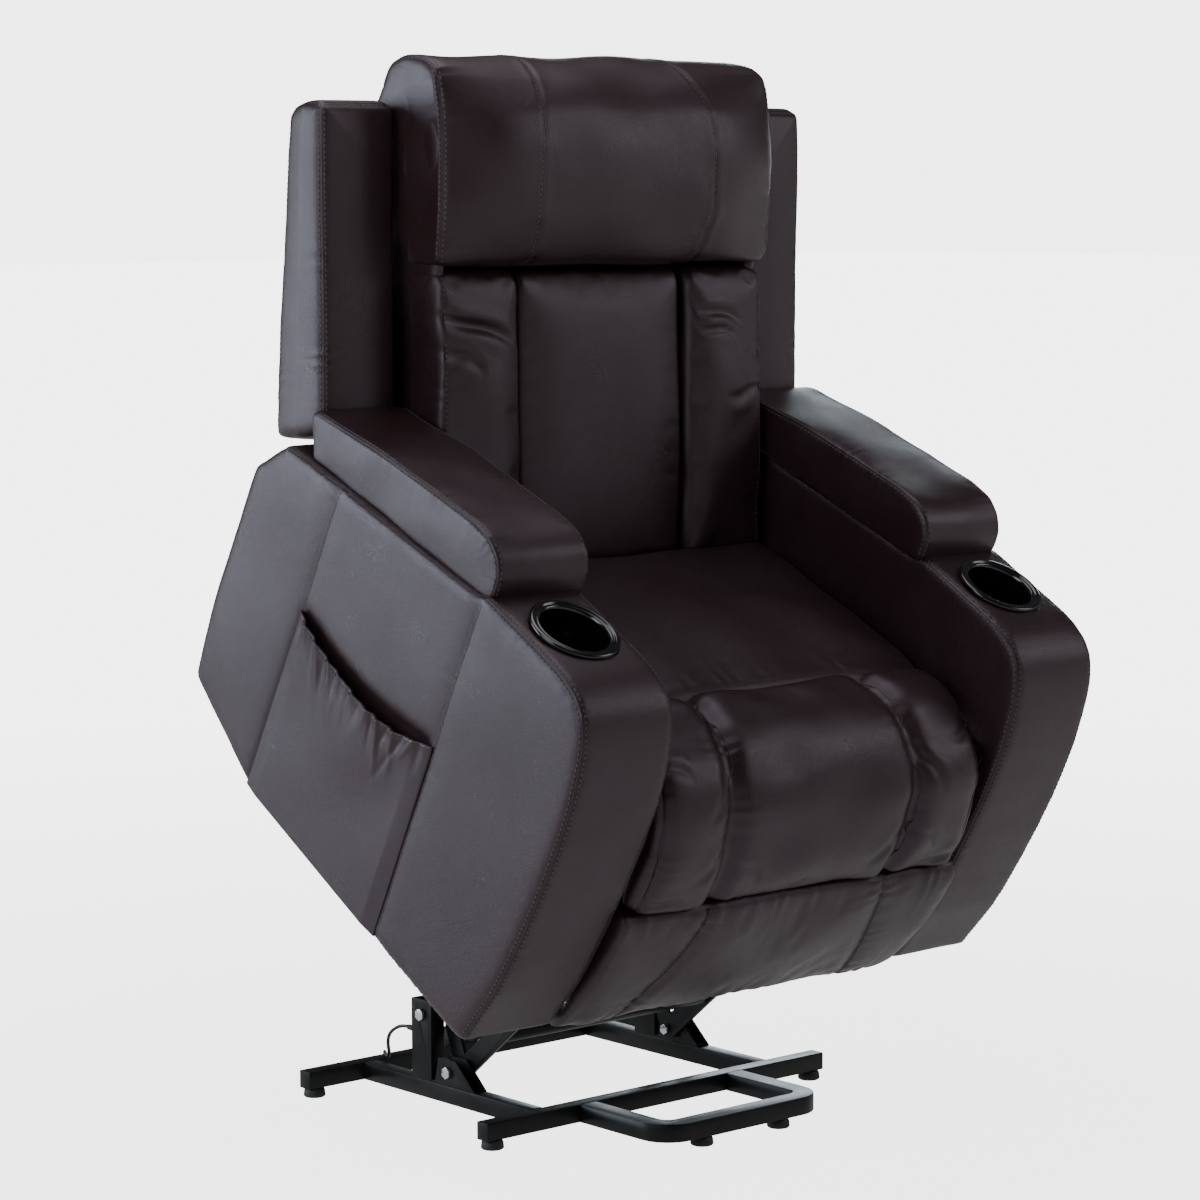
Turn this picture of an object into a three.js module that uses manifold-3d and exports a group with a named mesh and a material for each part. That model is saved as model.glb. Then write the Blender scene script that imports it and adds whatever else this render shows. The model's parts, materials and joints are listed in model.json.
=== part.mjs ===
// Power lift recliner chair, shown raised and tipped forward on its lift base.
// Millimetres, +Z up, the chair faces -Y, +X is the sitter's left.
import * as THREE from 'three';
import { mergeVertices, mergeGeometries } from 'three/addons/utils/BufferGeometryUtils.js';
import Module from 'manifold-3d';

const wasm = await Module();
wasm.setup();

// ---------- driving dimensions ----------
const Y_SHIFT = 171.72;           // moves the layout so that the origin is under the middle of the object
const TILT = 31.3;                // how far the seat body is tipped forward, degrees
const SEAT_ORIGIN = [-340.8, 193.8]; // front bottom corner of the arms (y, z)

// lift base
const BAR_Z0 = 13.5, BAR_Z1 = 38.5;   // steel tube of the base, bottom and top
const REAR_BAR_HALF = 318.3, FRONT_BAR_HALF = 313.5;
const BAR_Y_OUT = 208.6, BAR_Y_IN = 185;
const RAIL_X0 = 198, RAIL_X1 = 221.6;
const LOOP_HALF = 151.3, LOOP_TUBE = 29.5, LOOP_Y = -382.8, LOOP_R = 46;
const FOOT_R = 16, FOOT_H = 13.2;
const PIVOT_A = [-8, 58];         // front link on the base
const PIVOT_C = [50, 131];        // rear link on the post

// lift linkage, seat body frame for B, D, K
const PIN_B = [104.5, 20], PIN_D = [184.8, 30];
const LINK_T = 5, FRONT_LINK_X = 190, REAR_LINK_X = 182, LIFT_PLATE_X = 170;
const TORQUE_TUBE_AT = 100, TUBE_R = 12.5;
const ACT_X = -45, ACT_FOOT = [165, 62], PIN_K = [330, 60];
const REC_X = 60, PIN_G = [400, 140], PIN_E = [40, 240];

// seat body
const ARM_X0 = 311, ARM_X1 = 466, PAD_X0 = 302, PAD_X1 = 462;
const SEAT_HALF = 300;
const CUP = [387.9, 163, 531];    // x, u, w of the cup holder
const CUP_R = 45.5, CUP_FLANGE_R = 60.5, CUP_DEPTH = 80;
const MECH_X0 = 304, MECH_X1 = 308.5;
const FRONT_TUBE = [140, 80], REAR_TUBE = [365, 95];

// backrest
const PIVOT_R = [5, 719];         // recline hinge (y, z)
const LINK_S = [-98, 530.7], LINK_T_END = [-5, 645];
const WING_X0 = 313, WING_X1 = 438;

// footrest, seat body frame
const PIVOT_P = [22, 350];
const ROLL_R = 58;

// power lead
const CORD_R = 2.5;

// ---------- helpers ----------
const leather = () => new THREE.MeshStandardMaterial({ color: 0x241b1d, roughness: 0.42, metalness: 0.0 });
const steel = () => new THREE.MeshStandardMaterial({ color: 0x0c0c0e, roughness: 0.35, metalness: 0.6 });
const zinc = () => new THREE.MeshStandardMaterial({ color: 0xb9bcc0, roughness: 0.3, metalness: 1.0 });
const plastic = () => new THREE.MeshStandardMaterial({ color: 0x08080a, roughness: 0.25, metalness: 0.0 });
const rubber = () => new THREE.MeshStandardMaterial({ color: 0x0b0b0b, roughness: 0.8, metalness: 0.0 });
const wood = () => new THREE.MeshStandardMaterial({ color: 0xb58f62, roughness: 0.7, metalness: 0.0 });
const fabric = () => new THREE.MeshStandardMaterial({ color: 0x161617, roughness: 0.9, metalness: 0.0 });

// bare position-only geometry
const bare = (g) => {
  let h = g.index ? g.toNonIndexed() : g;
  const b = new THREE.BufferGeometry();
  b.setAttribute('position', h.getAttribute('position').clone());
  return mergeVertices(b, 1e-4);
};
const shapeOf = (pts) => new THREE.Shape(pts.map(([a, b]) => new THREE.Vector2(a, b)));
// outline in (y, z), pushed along x from x0 to x1
const sideSlab = (pts, x0, x1, holes = []) => {
  const s = shapeOf(pts);
  for (const h of holes) s.holes.push(new THREE.Path(h.map(([a, b]) => new THREE.Vector2(a, b))));
  const lo = Math.min(x0, x1), d = Math.abs(x1 - x0);
  const g = new THREE.ExtrudeGeometry(s, { depth: d, bevelEnabled: false, steps: 1 });
  g.applyMatrix4(new THREE.Matrix4().set(0, 0, 1, lo, 1, 0, 0, 0, 0, 1, 0, 0, 0, 0, 0, 1));
  return bare(g);
};
// outline in (x, y), pushed up from z0 to z1
const flatSlab = (pts, z0, z1) => {
  const g = new THREE.ExtrudeGeometry(shapeOf(pts), { depth: z1 - z0, bevelEnabled: false, steps: 1 });
  g.translate(0, 0, z0);
  return bare(g);
};
const box = (x0, x1, y0, y1, z0, z1) => {
  const g = new THREE.BoxGeometry(Math.abs(x1 - x0), Math.abs(y1 - y0), Math.abs(z1 - z0));
  g.translate((x0 + x1) / 2, (y0 + y1) / 2, (z0 + z1) / 2);
  return bare(g);
};
const circle = (c, r, n = 16) => Array.from({ length: n }, (_, i) => {
  const a = (i + 0.5) / n * 2 * Math.PI;
  return [c[0] + r * Math.cos(a), c[1] + r * Math.sin(a)];
});
// round bar along x at (y, z)
const barX = (c, r, x0, x1, n = 16) => sideSlab(circle(c, r, n), x0, x1);
const capsule = (a, b, w, n = 8) => {
  const dx = b[0] - a[0], dy = b[1] - a[1], t = Math.atan2(dy, dx), r = w / 2, out = [];
  for (let i = 0; i <= n; i++) { const q = t - Math.PI / 2 + Math.PI * i / n; out.push([b[0] + r * Math.cos(q), b[1] + r * Math.sin(q)]); }
  for (let i = 0; i <= n; i++) { const q = t + Math.PI / 2 + Math.PI * i / n; out.push([a[0] + r * Math.cos(q), a[1] + r * Math.sin(q)]); }
  return out;
};
const solid = (g) => {
  const m = bare(g);
  const idx = m.index ? Uint32Array.from(m.index.array) : null;
  return new wasm.Manifold(new wasm.Mesh({ numProp: 3, vertProperties: Float32Array.from(m.getAttribute('position').array), triVerts: idx }));
};
const geo = (man) => {
  const m = man.getMesh();
  const g = new THREE.BufferGeometry();
  const n = m.vertProperties.length / m.numProp, p = new Float32Array(n * 3);
  for (let i = 0; i < n; i++) for (let k = 0; k < 3; k++) p[3 * i + k] = m.vertProperties[i * m.numProp + k];
  g.setAttribute('position', new THREE.BufferAttribute(p, 3));
  g.setIndex(new THREE.BufferAttribute(Uint32Array.from(m.triVerts), 1));
  return g;
};
const cut = (a, ...bs) => { let m = solid(a); for (const b of bs) m = m.subtract(solid(b)); return geo(m); };
const fuse = (a, ...bs) => { let m = solid(a); for (const b of bs) m = m.add(solid(b)); return geo(m); };
const bunch = (...gs) => mergeGeometries(gs.map(bare));
const lathe = (pts, n = 24) => bare(new THREE.LatheGeometry(pts.map(([r, z]) => new THREE.Vector2(r, z)), n));
// a lathe turned about +Z
const latheZ = (pts, n) => { const g = lathe(pts, n); g.rotateX(Math.PI / 2); return g; };
// a lathe turned about the line from a point (x, y, z) along a direction in the YZ plane
const latheAlong = (pts, x, from, dir, n = 20) => {
  const g = lathe(pts, n);                       // axis +Y
  const t = Math.atan2(dir[1], dir[0]);          // direction angle from +Y towards +Z
  g.rotateX(t);
  g.translate(x, from[0], from[1]);
  return g;
};

const root = new THREE.Group();
root.position.y = Y_SHIFT;
const seat = new THREE.Group();
seat.position.set(0, SEAT_ORIGIN[0], SEAT_ORIGIN[1]);
seat.rotation.x = THREE.MathUtils.degToRad(TILT);
root.add(seat);
const put = (parent, name, g, m) => {
  const h = bare(g);
  h.computeVertexNormals();
  const mesh = new THREE.Mesh(h, m);
  mesh.name = name;
  parent.add(mesh);
  return mesh;
};
const c = Math.cos(THREE.MathUtils.degToRad(TILT)), s = Math.sin(THREE.MathUtils.degToRad(TILT));
const toWorld = ([u, w]) => [SEAT_ORIGIN[0] + c * u - s * w, SEAT_ORIGIN[1] + s * u + c * w];
const SIDES = [['right', -1], ['left', 1]];

// ---------- lift base ----------
// rear bar with the two welded lugs and the pin that carry the lift actuator
{
  const lugs = [-1, 1].map((k) => sideSlab([[153, 54], [165, 48], [184, BAR_Z1 - 1], [208, BAR_Z1 - 1], [206, 58], [172, 76], [158, 74]], ACT_X + k * 24, ACT_X + k * 28));
  put(root, 'base_rear_bar', fuse(box(-REAR_BAR_HALF, REAR_BAR_HALF, BAR_Y_IN, BAR_Y_OUT, BAR_Z0, BAR_Z1), ...lugs,
    barX(ACT_FOOT, 5, ACT_X - 32, ACT_X + 32, 12), barX(ACT_FOOT, 8, ACT_X - 32, ACT_X - 27.9, 12), barX(ACT_FOOT, 8, ACT_X + 27.9, ACT_X + 32, 12)), steel());
}
put(root, 'base_front_bar', box(-FRONT_BAR_HALF, FRONT_BAR_HALF, -BAR_Y_OUT, -BAR_Y_IN, BAR_Z0, BAR_Z1), steel());
for (const [n, k] of SIDES)
  put(root, `base_rail_${n}`, box(k * RAIL_X0, k * RAIL_X1, -BAR_Y_IN + 0.3, BAR_Y_IN - 0.3, BAR_Z0, BAR_Z1), steel());

// stabiliser loop in front, a flat U of tube with rounded corners
{
  const arc = (cx, cy, r, a0, a1, n) => Array.from({ length: n + 1 }, (_, i) => {
    const a = THREE.MathUtils.degToRad(a0 + (a1 - a0) * i / n); return [cx + r * Math.cos(a), cy + r * Math.sin(a)];
  });
  const yb = -BAR_Y_OUT - 0.3, o = LOOP_HALF, i = LOOP_HALF - LOOP_TUBE, R = LOOP_R, r = LOOP_R - LOOP_TUBE, yi = LOOP_Y + LOOP_TUBE;
  const pts = [[-o, yb], ...arc(-o + R, LOOP_Y + R, R, 180, 270, 6), ...arc(o - R, LOOP_Y + R, R, 270, 360, 6), [o, yb],
    [i, yb], ...arc(i - r, yi + r, r, 360, 270, 5), ...arc(-i + r, yi + r, r, 270, 180, 5), [-i, yb]];
  put(root, 'base_front_loop', flatSlab(pts, BAR_Z0, BAR_Z1), steel());
}
for (const [n, x, y] of [['rear_right', -301, 196.8], ['rear_left', 301, 196.8], ['front_right', -296, -196.8], ['front_left', 296, -196.8], ['loop_right', -71.2, -368], ['loop_left', 71.2, -368]]) {
  const g = latheZ([[0, 0], [FOOT_R - 2, 0], [FOOT_R, 2], [FOOT_R - 1, FOOT_H - 3], [FOOT_R - 3, FOOT_H], [0, FOOT_H]], 16);
  g.translate(x, y, 0);
  put(root, `foot_${n}`, g, rubber());
}

// stanchions on the rails: an upright box post for the rear link and a folded bracket for the front link, on one foot plate
for (const [n, k] of SIDES) {
  const post = cut(box(k * RAIL_X0, k * RAIL_X1, 29, 73, BAR_Z1 + 0.3, 152), box(k * (RAIL_X0 + 3), k * (RAIL_X1 - 3), 32, 70, BAR_Z1 + 4, 160));
  const bracket = cut(sideSlab([[-66, BAR_Z1 + 0.3], [22, BAR_Z1 + 0.3], [14, 76], [-24, 76]], k * 198.5, k * 221), box(k * 202.5, k * 217, -90, 40, BAR_Z1 + 3.3, 90));
  const plate = box(k * 198.5, k * 221, 15, 35, BAR_Z1 + 0.3, BAR_Z1 + 3.3);
  put(root, `stanchion_${n}`, cut(fuse(post, bracket, plate), barX(PIVOT_C, 6, k * 190, k * 230), barX(PIVOT_A, 6, k * 190, k * 230)), steel());
}
// pivot bolts of the base, with head and nut
const bolt = (cc, k, x0, x1, head) => fuse(barX(cc, 5, k * x0, k * x1, 12), barX(cc, head, k * (x1 - 0.1), k * (x1 + 5.5), 6), barX(cc, head - 1, k * (x0 - 4.5), k * (x0 + 0.1), 6));
for (const [n, k] of SIDES) {
  put(root, `front_pivot_bolt_${n}`, bolt(PIVOT_A, k, 186.5, 221.5, 9), zinc());
  put(root, `rear_pivot_bolt_${n}`, bolt(PIVOT_C, k, 181.2, 222, 9), zinc());
}

// ---------- power lead ----------
put(root, 'cord_strain_relief', latheAlong([[0, 0], [6.5, 0], [6.5, 4], [4.6, 5], [3.8, 22], [0, 22]], -210, [73.3, 104], [1, 0], 12), rubber());
const CORD_PATH = [[-210, 95.6, 104], [-210, 104, 103.8], [-211, 116, 101], [-213, 128, 94], [-214, 136, 84], [-213, 139, 72],
  [-210, 141, 62], [-205, 147, 54], [-198, 158, 48.5], [-189, 172, 45], [-180, 186, 43], [-172, 199, 42.6], [-165, 210, 41.2], [-158, 219, 34], [-151, 228, 22],
  [-141, 240, 9], [-131, 249, 4.2], [-118, 257, 3.1], [-104, 263, 3.1], [-90, 268, 3.1], [-78, 272.5, 3.1], [-66, 276.5, 3.1], [-58.6, 279, 3.1]];
const COIL = { x: -20, y: 257, r: 30, w: 7.5, h: 15 };
{
  const curve = new THREE.CatmullRomCurve3(CORD_PATH.map(([x, y, z]) => new THREE.Vector3(x, y, z)), false, 'centripetal');
  const sec = new THREE.Shape(circle([0, 0], CORD_R, 8).map(([a, b]) => new THREE.Vector2(a, b)));
  put(root, 'power_cord', new THREE.ExtrudeGeometry(sec, { steps: 56, extrudePath: curve, bevelEnabled: false }), rubber());
  const ring = latheZ([[COIL.r - COIL.w, 0.4], [COIL.r + COIL.w, 0.4], [COIL.r + COIL.w, 0.4 + COIL.h], [COIL.r - COIL.w, 0.4 + COIL.h], [COIL.r - COIL.w, 0.4]], 24);
  ring.translate(COIL.x, COIL.y, 0);
  put(root, 'power_cord_coil', ring, rubber());
  put(root, 'power_plug', fuse(box(22, 52, 245, 269, 0.4, 18.4), box(51.9, 68, 249, 250.6, 6, 12.4), box(51.9, 68, 263.4, 265, 6, 12.4)), plastic());
}

// ---------- lift linkage ----------
const B = toWorld(PIN_B), D = toWorld(PIN_D), K = toWorld(PIN_K);
const along = (a, b, d) => { const l = Math.hypot(b[0] - a[0], b[1] - a[1]); return [a[0] + (b[0] - a[0]) * d / l, a[1] + (b[1] - a[1]) * d / l]; };
const LUG = [PIVOT_A[0] + 62 * 0.407, PIVOT_A[1] + 62 * 0.914];
const TORQUE = along(PIVOT_A, B, TORQUE_TUBE_AT);
for (const [n, k] of SIDES) {
  const x0 = k * FRONT_LINK_X, x1 = k * (FRONT_LINK_X + LINK_T);
  let m = solid(sideSlab(capsule(PIVOT_A, B, 30), x0, x1)).add(solid(sideSlab(capsule(PIVOT_A, LUG, 26), x0, x1)));
  for (const h of [PIVOT_A, B]) m = m.subtract(solid(barX(h, 6.2, k * 180, k * 200)));
  put(root, `front_lift_link_${n}`, geo(m), steel());
  const r0 = k * REAR_LINK_X, r1 = k * (REAR_LINK_X + LINK_T);
  put(root, `rear_lift_link_${n}`, cut(sideSlab(capsule(PIVOT_C, D, 28), r0, r1), barX(PIVOT_C, 6.2, k * 176, k * 190), barX(D, 6.2, k * 176, k * 190)), steel());
}
put(root, 'torque_tube', barX(TORQUE, TUBE_R, -FRONT_LINK_X + 0.3, FRONT_LINK_X - 0.3), steel());

// lift actuator: housing pinned to the base, rod reaching the seat frame
{
  const d = [K[0] - ACT_FOOT[0], K[1] - ACT_FOOT[1]], L = Math.hypot(...d), u = [d[0] / L, d[1] / L];
  const eye = sideSlab(capsule(ACT_FOOT, along(ACT_FOOT, K, 20), 24), ACT_X - 10, ACT_X + 10);
  const tube = latheAlong([[0, 18], [21, 18], [23, 26], [23, 62], [21, 66], [21, 212], [18, 215], [10.5, 215], [10.5, 30], [0, 30]], ACT_X, ACT_FOOT, u, 20);
  const mc = along(ACT_FOOT, K, 46);
  const motor = fuse(barX(mc, 28, ACT_X + 16, ACT_X + 118, 20), barX(mc, 22, ACT_X + 117.9, ACT_X + 124, 20));
  const bore = latheAlong([[0, 30], [10.5, 30], [10.5, 220], [0, 220]], ACT_X, ACT_FOOT, u, 20);
  put(root, 'lift_actuator_housing', cut(fuse(tube, eye, motor), bore, barX(ACT_FOOT, 6.2, ACT_X - 20, ACT_X + 20)), plastic());
  const eye2 = sideSlab(capsule(along(ACT_FOOT, K, L - 26), K, 24), ACT_X - 9, ACT_X + 9);
  const rod = latheAlong([[0, 190], [9, 190], [9, L - 24], [0, L - 24]], ACT_X, ACT_FOOT, u, 16);
  put(root, 'lift_actuator_rod', cut(fuse(rod, eye2), barX(K, 6.2, ACT_X - 20, ACT_X + 20)), zinc());
}

// ---------- seat body ----------
const LS = [(LINK_S[0] - SEAT_ORIGIN[0]) * c + (LINK_S[1] - SEAT_ORIGIN[1]) * s, -(LINK_S[0] - SEAT_ORIGIN[0]) * s + (LINK_S[1] - SEAT_ORIGIN[1]) * c];
const LR = [(PIVOT_R[0] - SEAT_ORIGIN[0]) * c + (PIVOT_R[1] - SEAT_ORIGIN[1]) * s, -(PIVOT_R[0] - SEAT_ORIGIN[0]) * s + (PIVOT_R[1] - SEAT_ORIGIN[1]) * c];
for (const [n, k] of SIDES) {
  // lift plate with its riveted studs for the front link and, as a stub, the rear link
  put(seat, `lift_plate_${n}`, fuse(cut(sideSlab([[85, 2], [205, 8], [300, 48], [392, 66], [392, 118], [330, 124], [120, 108], [85, 60]], k * LIFT_PLATE_X, k * (LIFT_PLATE_X + LINK_T)),
    barX(FRONT_TUBE, TUBE_R + 0.8, k * 160, k * 185), barX(REAR_TUBE, TUBE_R + 0.8, k * 160, k * 185)),
    barX(PIN_B, 5, k * 174, k * 197, 12), barX(PIN_B, 8.5, k * 196.2, k * 200, 12), barX(PIN_D, 6, k * 174, k * 181.6, 12)), steel());
  // mechanism plate with its studs for the footrest, the backrest and the recline link
  put(seat, `mechanism_plate_${n}`, fuse(cut(sideSlab([[6, 338], [70, 296], [112, 250], [112, 62], [400, 62], [520, 150], [594, 236], [598, 286], [560, 302], [182, 304], [62, 364], [24, 370], [6, 362]], k * MECH_X0, k * MECH_X1),
    sideSlab([[200, 120], [330, 120], [360, 140], [360, 200], [200, 200]], k * 300, k * 312)),
    barX(PIVOT_P, 5, k * 285.5, k * 305, 12), barX(LR, 6, k * 256, k * 305, 12), barX(LS, 5, k * 289, k * 305, 12)), steel());
}
put(seat, 'front_cross_tube', barX(FRONT_TUBE, TUBE_R, -303.5, 303.5), steel());
{
  const lug = (x, a, b, w) => [-1, 1].map((k) => sideSlab(capsule(a, b, w), x + k * 22, x + k * 26));
  put(seat, 'rear_cross_tube', fuse(barX(REAR_TUBE, TUBE_R, -303.5, 303.5), ...lug(ACT_X, REAR_TUBE, PIN_K, 22), ...lug(REC_X, REAR_TUBE, PIN_G, 22), barX(PIN_G, 5, REC_X - 24, REC_X + 24, 12)), steel());
}
// seat frame: a deep rim with the spring platform on top
put(seat, 'seat_frame', cut(box(-303.5, 303.5, 190, 460, 246, 288), box(-275, 275, 222, 428, 240, 280)), wood());
put(seat, 'seat_cushion', sideSlab([[92, 334], [178, 334], [178, 292], [465, 292], [515, 374], [440, 392], [300, 408], [190, 417], [166, 414], [110, 415], [86, 402], [91, 372]], -SEAT_HALF, SEAT_HALF), leather());

// arms: upholstered side boxes, each with a cup hole and a shallow recess behind its pocket
const ARM = [[0, 0], [536, 0], [718, 55], [737, 193], [747, 389], [700, 455], [662, 462], [482, 488], [262, 520], [256, 528], [71, 531],
  [44, 528], [18, 509], [1, 461], [-19, 387], [-24, 289], [-25, 191], [-19, 100]];
const PAD = [[264, 525], [482, 493], [656, 468], [664, 508], [516, 550], [330, 586], [274, 571], [250, 548], [252, 535]];
const POCKET = [[262, 110], [552, 110], [558, 312], [268, 312]];
const POCKET_PANEL = [[263, 110.6], [551, 110.6], [556.4, 286], [480, 272], [400, 267], [330, 276], [268.6, 300]];
for (const [n, k] of SIDES) {
  const bore = latheZ([[0, CUP[2] - CUP_DEPTH - 6], [CUP_R + 4, CUP[2] - CUP_DEPTH - 6], [CUP_R + 4, CUP[2] + 20], [0, CUP[2] + 20]], 24);
  bore.translate(k * CUP[0], CUP[1], 0);
  put(seat, `arm_${n}`, cut(sideSlab(ARM, k * ARM_X0, k * ARM_X1), bore, sideSlab(POCKET, k * (ARM_X1 - 12), k * (ARM_X1 + 5))), leather());
  put(seat, `arm_pad_${n}`, sideSlab(PAD, k * PAD_X0, k * PAD_X1), leather());
  const cup = latheZ([[0, CUP[2] - CUP_DEPTH], [CUP_R - 6, CUP[2] - CUP_DEPTH], [CUP_R + 1.5, CUP[2] - CUP_DEPTH + 6], [CUP_R + 2.5, CUP[2] + 0.4], [CUP_FLANGE_R, CUP[2] + 0.4],
    [CUP_FLANGE_R, CUP[2] + 3], [CUP_FLANGE_R - 3, CUP[2] + 5], [CUP_R + 2, CUP[2] + 5], [CUP_R, CUP[2] + 2], [CUP_R - 1, CUP[2] - CUP_DEPTH + 7], [CUP_R - 7.5, CUP[2] - CUP_DEPTH + 2.2], [0, CUP[2] - CUP_DEPTH + 2.2]], 24);
  cup.translate(k * CUP[0], CUP[1], 0);
  put(seat, `cup_holder_${n}`, cup, plastic());
  put(seat, `side_pocket_${n}`, sideSlab(POCKET_PANEL, k * (ARM_X1 - 4), k * (ARM_X1 + 0.5)), leather());
}
put(seat, 'rear_skirt_panel', box(-302, 302, 715, 731, 72, 200), fabric());

// ---------- backrest (upright across the tipped body, so its outlines are in world y, z) ----------
put(root, 'back_frame', cut(fuse(box(-262.5, 262.5, 0, 16, 745, 1385), ...[-1, 1].map((k) => box(k * 262, k * 290, -17, 27, 632, 1385))),
  ...[-1, 1].map((k) => barX(PIVOT_R, 7.2, k * 255, k * 300))), wood());
put(root, 'back_center_cushion', sideSlab([[-30, 742], [-30, 1171], [-78, 1171], [-87, 1160], [-87, 752], [-80, 742]], -150, 150), leather());
for (const [n, k] of SIDES)
  put(root, `back_bolster_${n}`, sideSlab([[-24, 744], [-24, 1172], [-80, 1172], [-91, 1158], [-91, 756], [-82, 744]], k * 152, k * 300), leather());
put(root, 'headrest_cushion', sideSlab([[-24, 1176], [-24, 1388], [28, 1390], [28, 1424], [8, 1455], [-30, 1468], [-80, 1460], [-113, 1432], [-148, 1388], [-156, 1340], [-147, 1250], [-118, 1184], [-96, 1176]], -SEAT_HALF, SEAT_HALF), leather());
for (const [n, k] of SIDES)
  put(root, `wing_${n}`, sideSlab([[-25, 962], [86, 950], [78, 1090], [58, 1278], [45, 1380], [38, 1392], [-15, 1397], [-25, 1390]], k * WING_X0, k * WING_X1), leather());
put(root, 'back_cover', sideSlab([[33, 760], [72, 766], [84, 800], [83, 960], [77, 1090], [57, 1278], [46, 1386], [33, 1392]], -SEAT_HALF, SEAT_HALF), leather());
for (const [n, k] of SIDES)
  put(root, `recline_link_${n}`, cut(sideSlab(capsule(LINK_S, LINK_T_END, 22), k * 292.5, k * 296.5), barX(LINK_S, 6.2, k * 288, k * 300)), steel());

// ---------- footrest ----------
{
  const arms = [-1, 1].map((k) => sideSlab([[9, 200], [20, 200], [26, 300], [36, 346], [34, 358], [24, 364], [12, 360], [8, 348], [9, 300]], k * 286.9, k * 291));
  const lugs = [-1, 1].map((k) => sideSlab([[19, 222], [44, 230], [51, 240], [44, 250], [19, 258]], REC_X + k * 13, REC_X + k * 17));
  put(seat, 'footrest_board', cut(fuse(box(-287, 287, 8, 20, 30, 290), ...arms, ...lugs), ...[-1, 1].map((k) => barX(PIVOT_P, 6.4, k * 280, k * 300)),
    barX(PIN_E, 6, REC_X - 25, REC_X + 25)), wood());
  const P = PIVOT_P, arc = (r, a0, a1, n) => Array.from({ length: n + 1 }, (_, i) => {
    const a = THREE.MathUtils.degToRad(a0 + (a1 - a0) * i / n); return [P[0] + r * Math.cos(a), P[1] + r * Math.sin(a)];
  });
  const drum = sideSlab([...arc(ROLL_R, 25, 205, 10), [P[0] - 18, P[1] - 26], ...arc(16, 180, 30, 5)], -284, 284);
  const front = sideSlab([[5, 205], [5, 338], [-10, 345], [-35.5, 345], [-41, 300], [-40, 240], [-30, 210], [-18, 204]], -SEAT_HALF, SEAT_HALF);
  put(seat, 'footrest_roll', fuse(drum, front), leather());
  put(seat, 'footrest_flap', sideSlab([[5, 30], [5, 201], [-20, 201], [-36, 160], [-42, 90], [-40, 36], [-32, 16], [-12, 14]], -SEAT_HALF, SEAT_HALF), leather());
}

// recline actuator: housing pinned under the seat, rod on the footrest board
{
  const d = [PIN_E[0] - PIN_G[0], PIN_E[1] - PIN_G[1]], L = Math.hypot(...d), u = [d[0] / L, d[1] / L];
  const eye = sideSlab(capsule(PIN_G, along(PIN_G, PIN_E, 20), 22), REC_X - 9, REC_X + 9);
  const tube = latheAlong([[0, 18], [19, 18], [20, 24], [20, 60], [18.5, 64], [18.5, 232], [16, 235], [9.5, 235], [9.5, 26], [0, 26]], REC_X, PIN_G, u, 20);
  const mc = along(PIN_G, PIN_E, 46);
  const motor = fuse(barX(mc, 25, REC_X + 15, REC_X + 105, 20), barX(mc, 18, REC_X + 104.9, REC_X + 110, 20));
  const bore = latheAlong([[0, 26], [9.5, 26], [9.5, 240], [0, 240]], REC_X, PIN_G, u, 20);
  put(seat, 'recline_actuator_housing', cut(fuse(tube, eye, motor), bore, barX(PIN_G, 6.2, REC_X - 20, REC_X + 20)), plastic());
  const eye2 = sideSlab(capsule(along(PIN_G, PIN_E, L - 22), PIN_E, 20), REC_X - 8, REC_X + 8);
  const rod = latheAlong([[0, 30], [8, 30], [8, L - 20], [0, L - 20]], REC_X, PIN_G, u, 16);
  put(seat, 'recline_actuator_rod', cut(fuse(rod, eye2), barX(PIN_E, 6, REC_X - 20, REC_X + 20)), zinc());
}

export default root;
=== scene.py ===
import bpy, bmesh, math, time
import numpy as np
from mathutils import Vector, Matrix
from mathutils.kdtree import KDTree
from mathutils.bvhtree import BVHTree
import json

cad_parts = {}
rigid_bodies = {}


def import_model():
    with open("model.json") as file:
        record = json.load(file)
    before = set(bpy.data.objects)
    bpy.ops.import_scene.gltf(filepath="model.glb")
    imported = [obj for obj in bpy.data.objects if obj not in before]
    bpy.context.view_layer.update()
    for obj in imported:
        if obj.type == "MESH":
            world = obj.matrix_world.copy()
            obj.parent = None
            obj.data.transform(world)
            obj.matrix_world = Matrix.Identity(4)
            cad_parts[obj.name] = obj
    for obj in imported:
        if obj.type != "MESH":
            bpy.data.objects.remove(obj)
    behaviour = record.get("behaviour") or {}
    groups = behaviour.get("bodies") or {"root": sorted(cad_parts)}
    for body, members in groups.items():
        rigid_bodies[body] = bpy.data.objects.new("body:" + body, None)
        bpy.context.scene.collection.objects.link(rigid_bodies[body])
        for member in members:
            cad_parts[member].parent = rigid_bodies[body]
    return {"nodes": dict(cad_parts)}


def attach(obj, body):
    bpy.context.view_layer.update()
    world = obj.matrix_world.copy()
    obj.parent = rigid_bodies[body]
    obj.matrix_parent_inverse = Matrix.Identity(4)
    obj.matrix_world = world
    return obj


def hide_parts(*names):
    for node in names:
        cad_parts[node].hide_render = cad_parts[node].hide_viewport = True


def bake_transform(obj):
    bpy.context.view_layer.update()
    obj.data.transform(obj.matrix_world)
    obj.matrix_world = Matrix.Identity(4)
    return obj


T0 = time.time()
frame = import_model()
scene = bpy.context.scene
nodes = frame["nodes"]
YS = 171.72
CB, SB = math.cos(math.radians(31.3)), math.sin(math.radians(31.3))


def seat_frame(p):
    """(x, u, w) of the seat body in mm to the row frame in metres."""
    p = np.asarray(p, float).reshape(-1, 3)
    return np.stack([p[:, 0], -340.8 + YS + CB * p[:, 1] - SB * p[:, 2], 193.8 + SB * p[:, 1] + CB * p[:, 2]], 1) / 1000


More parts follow.
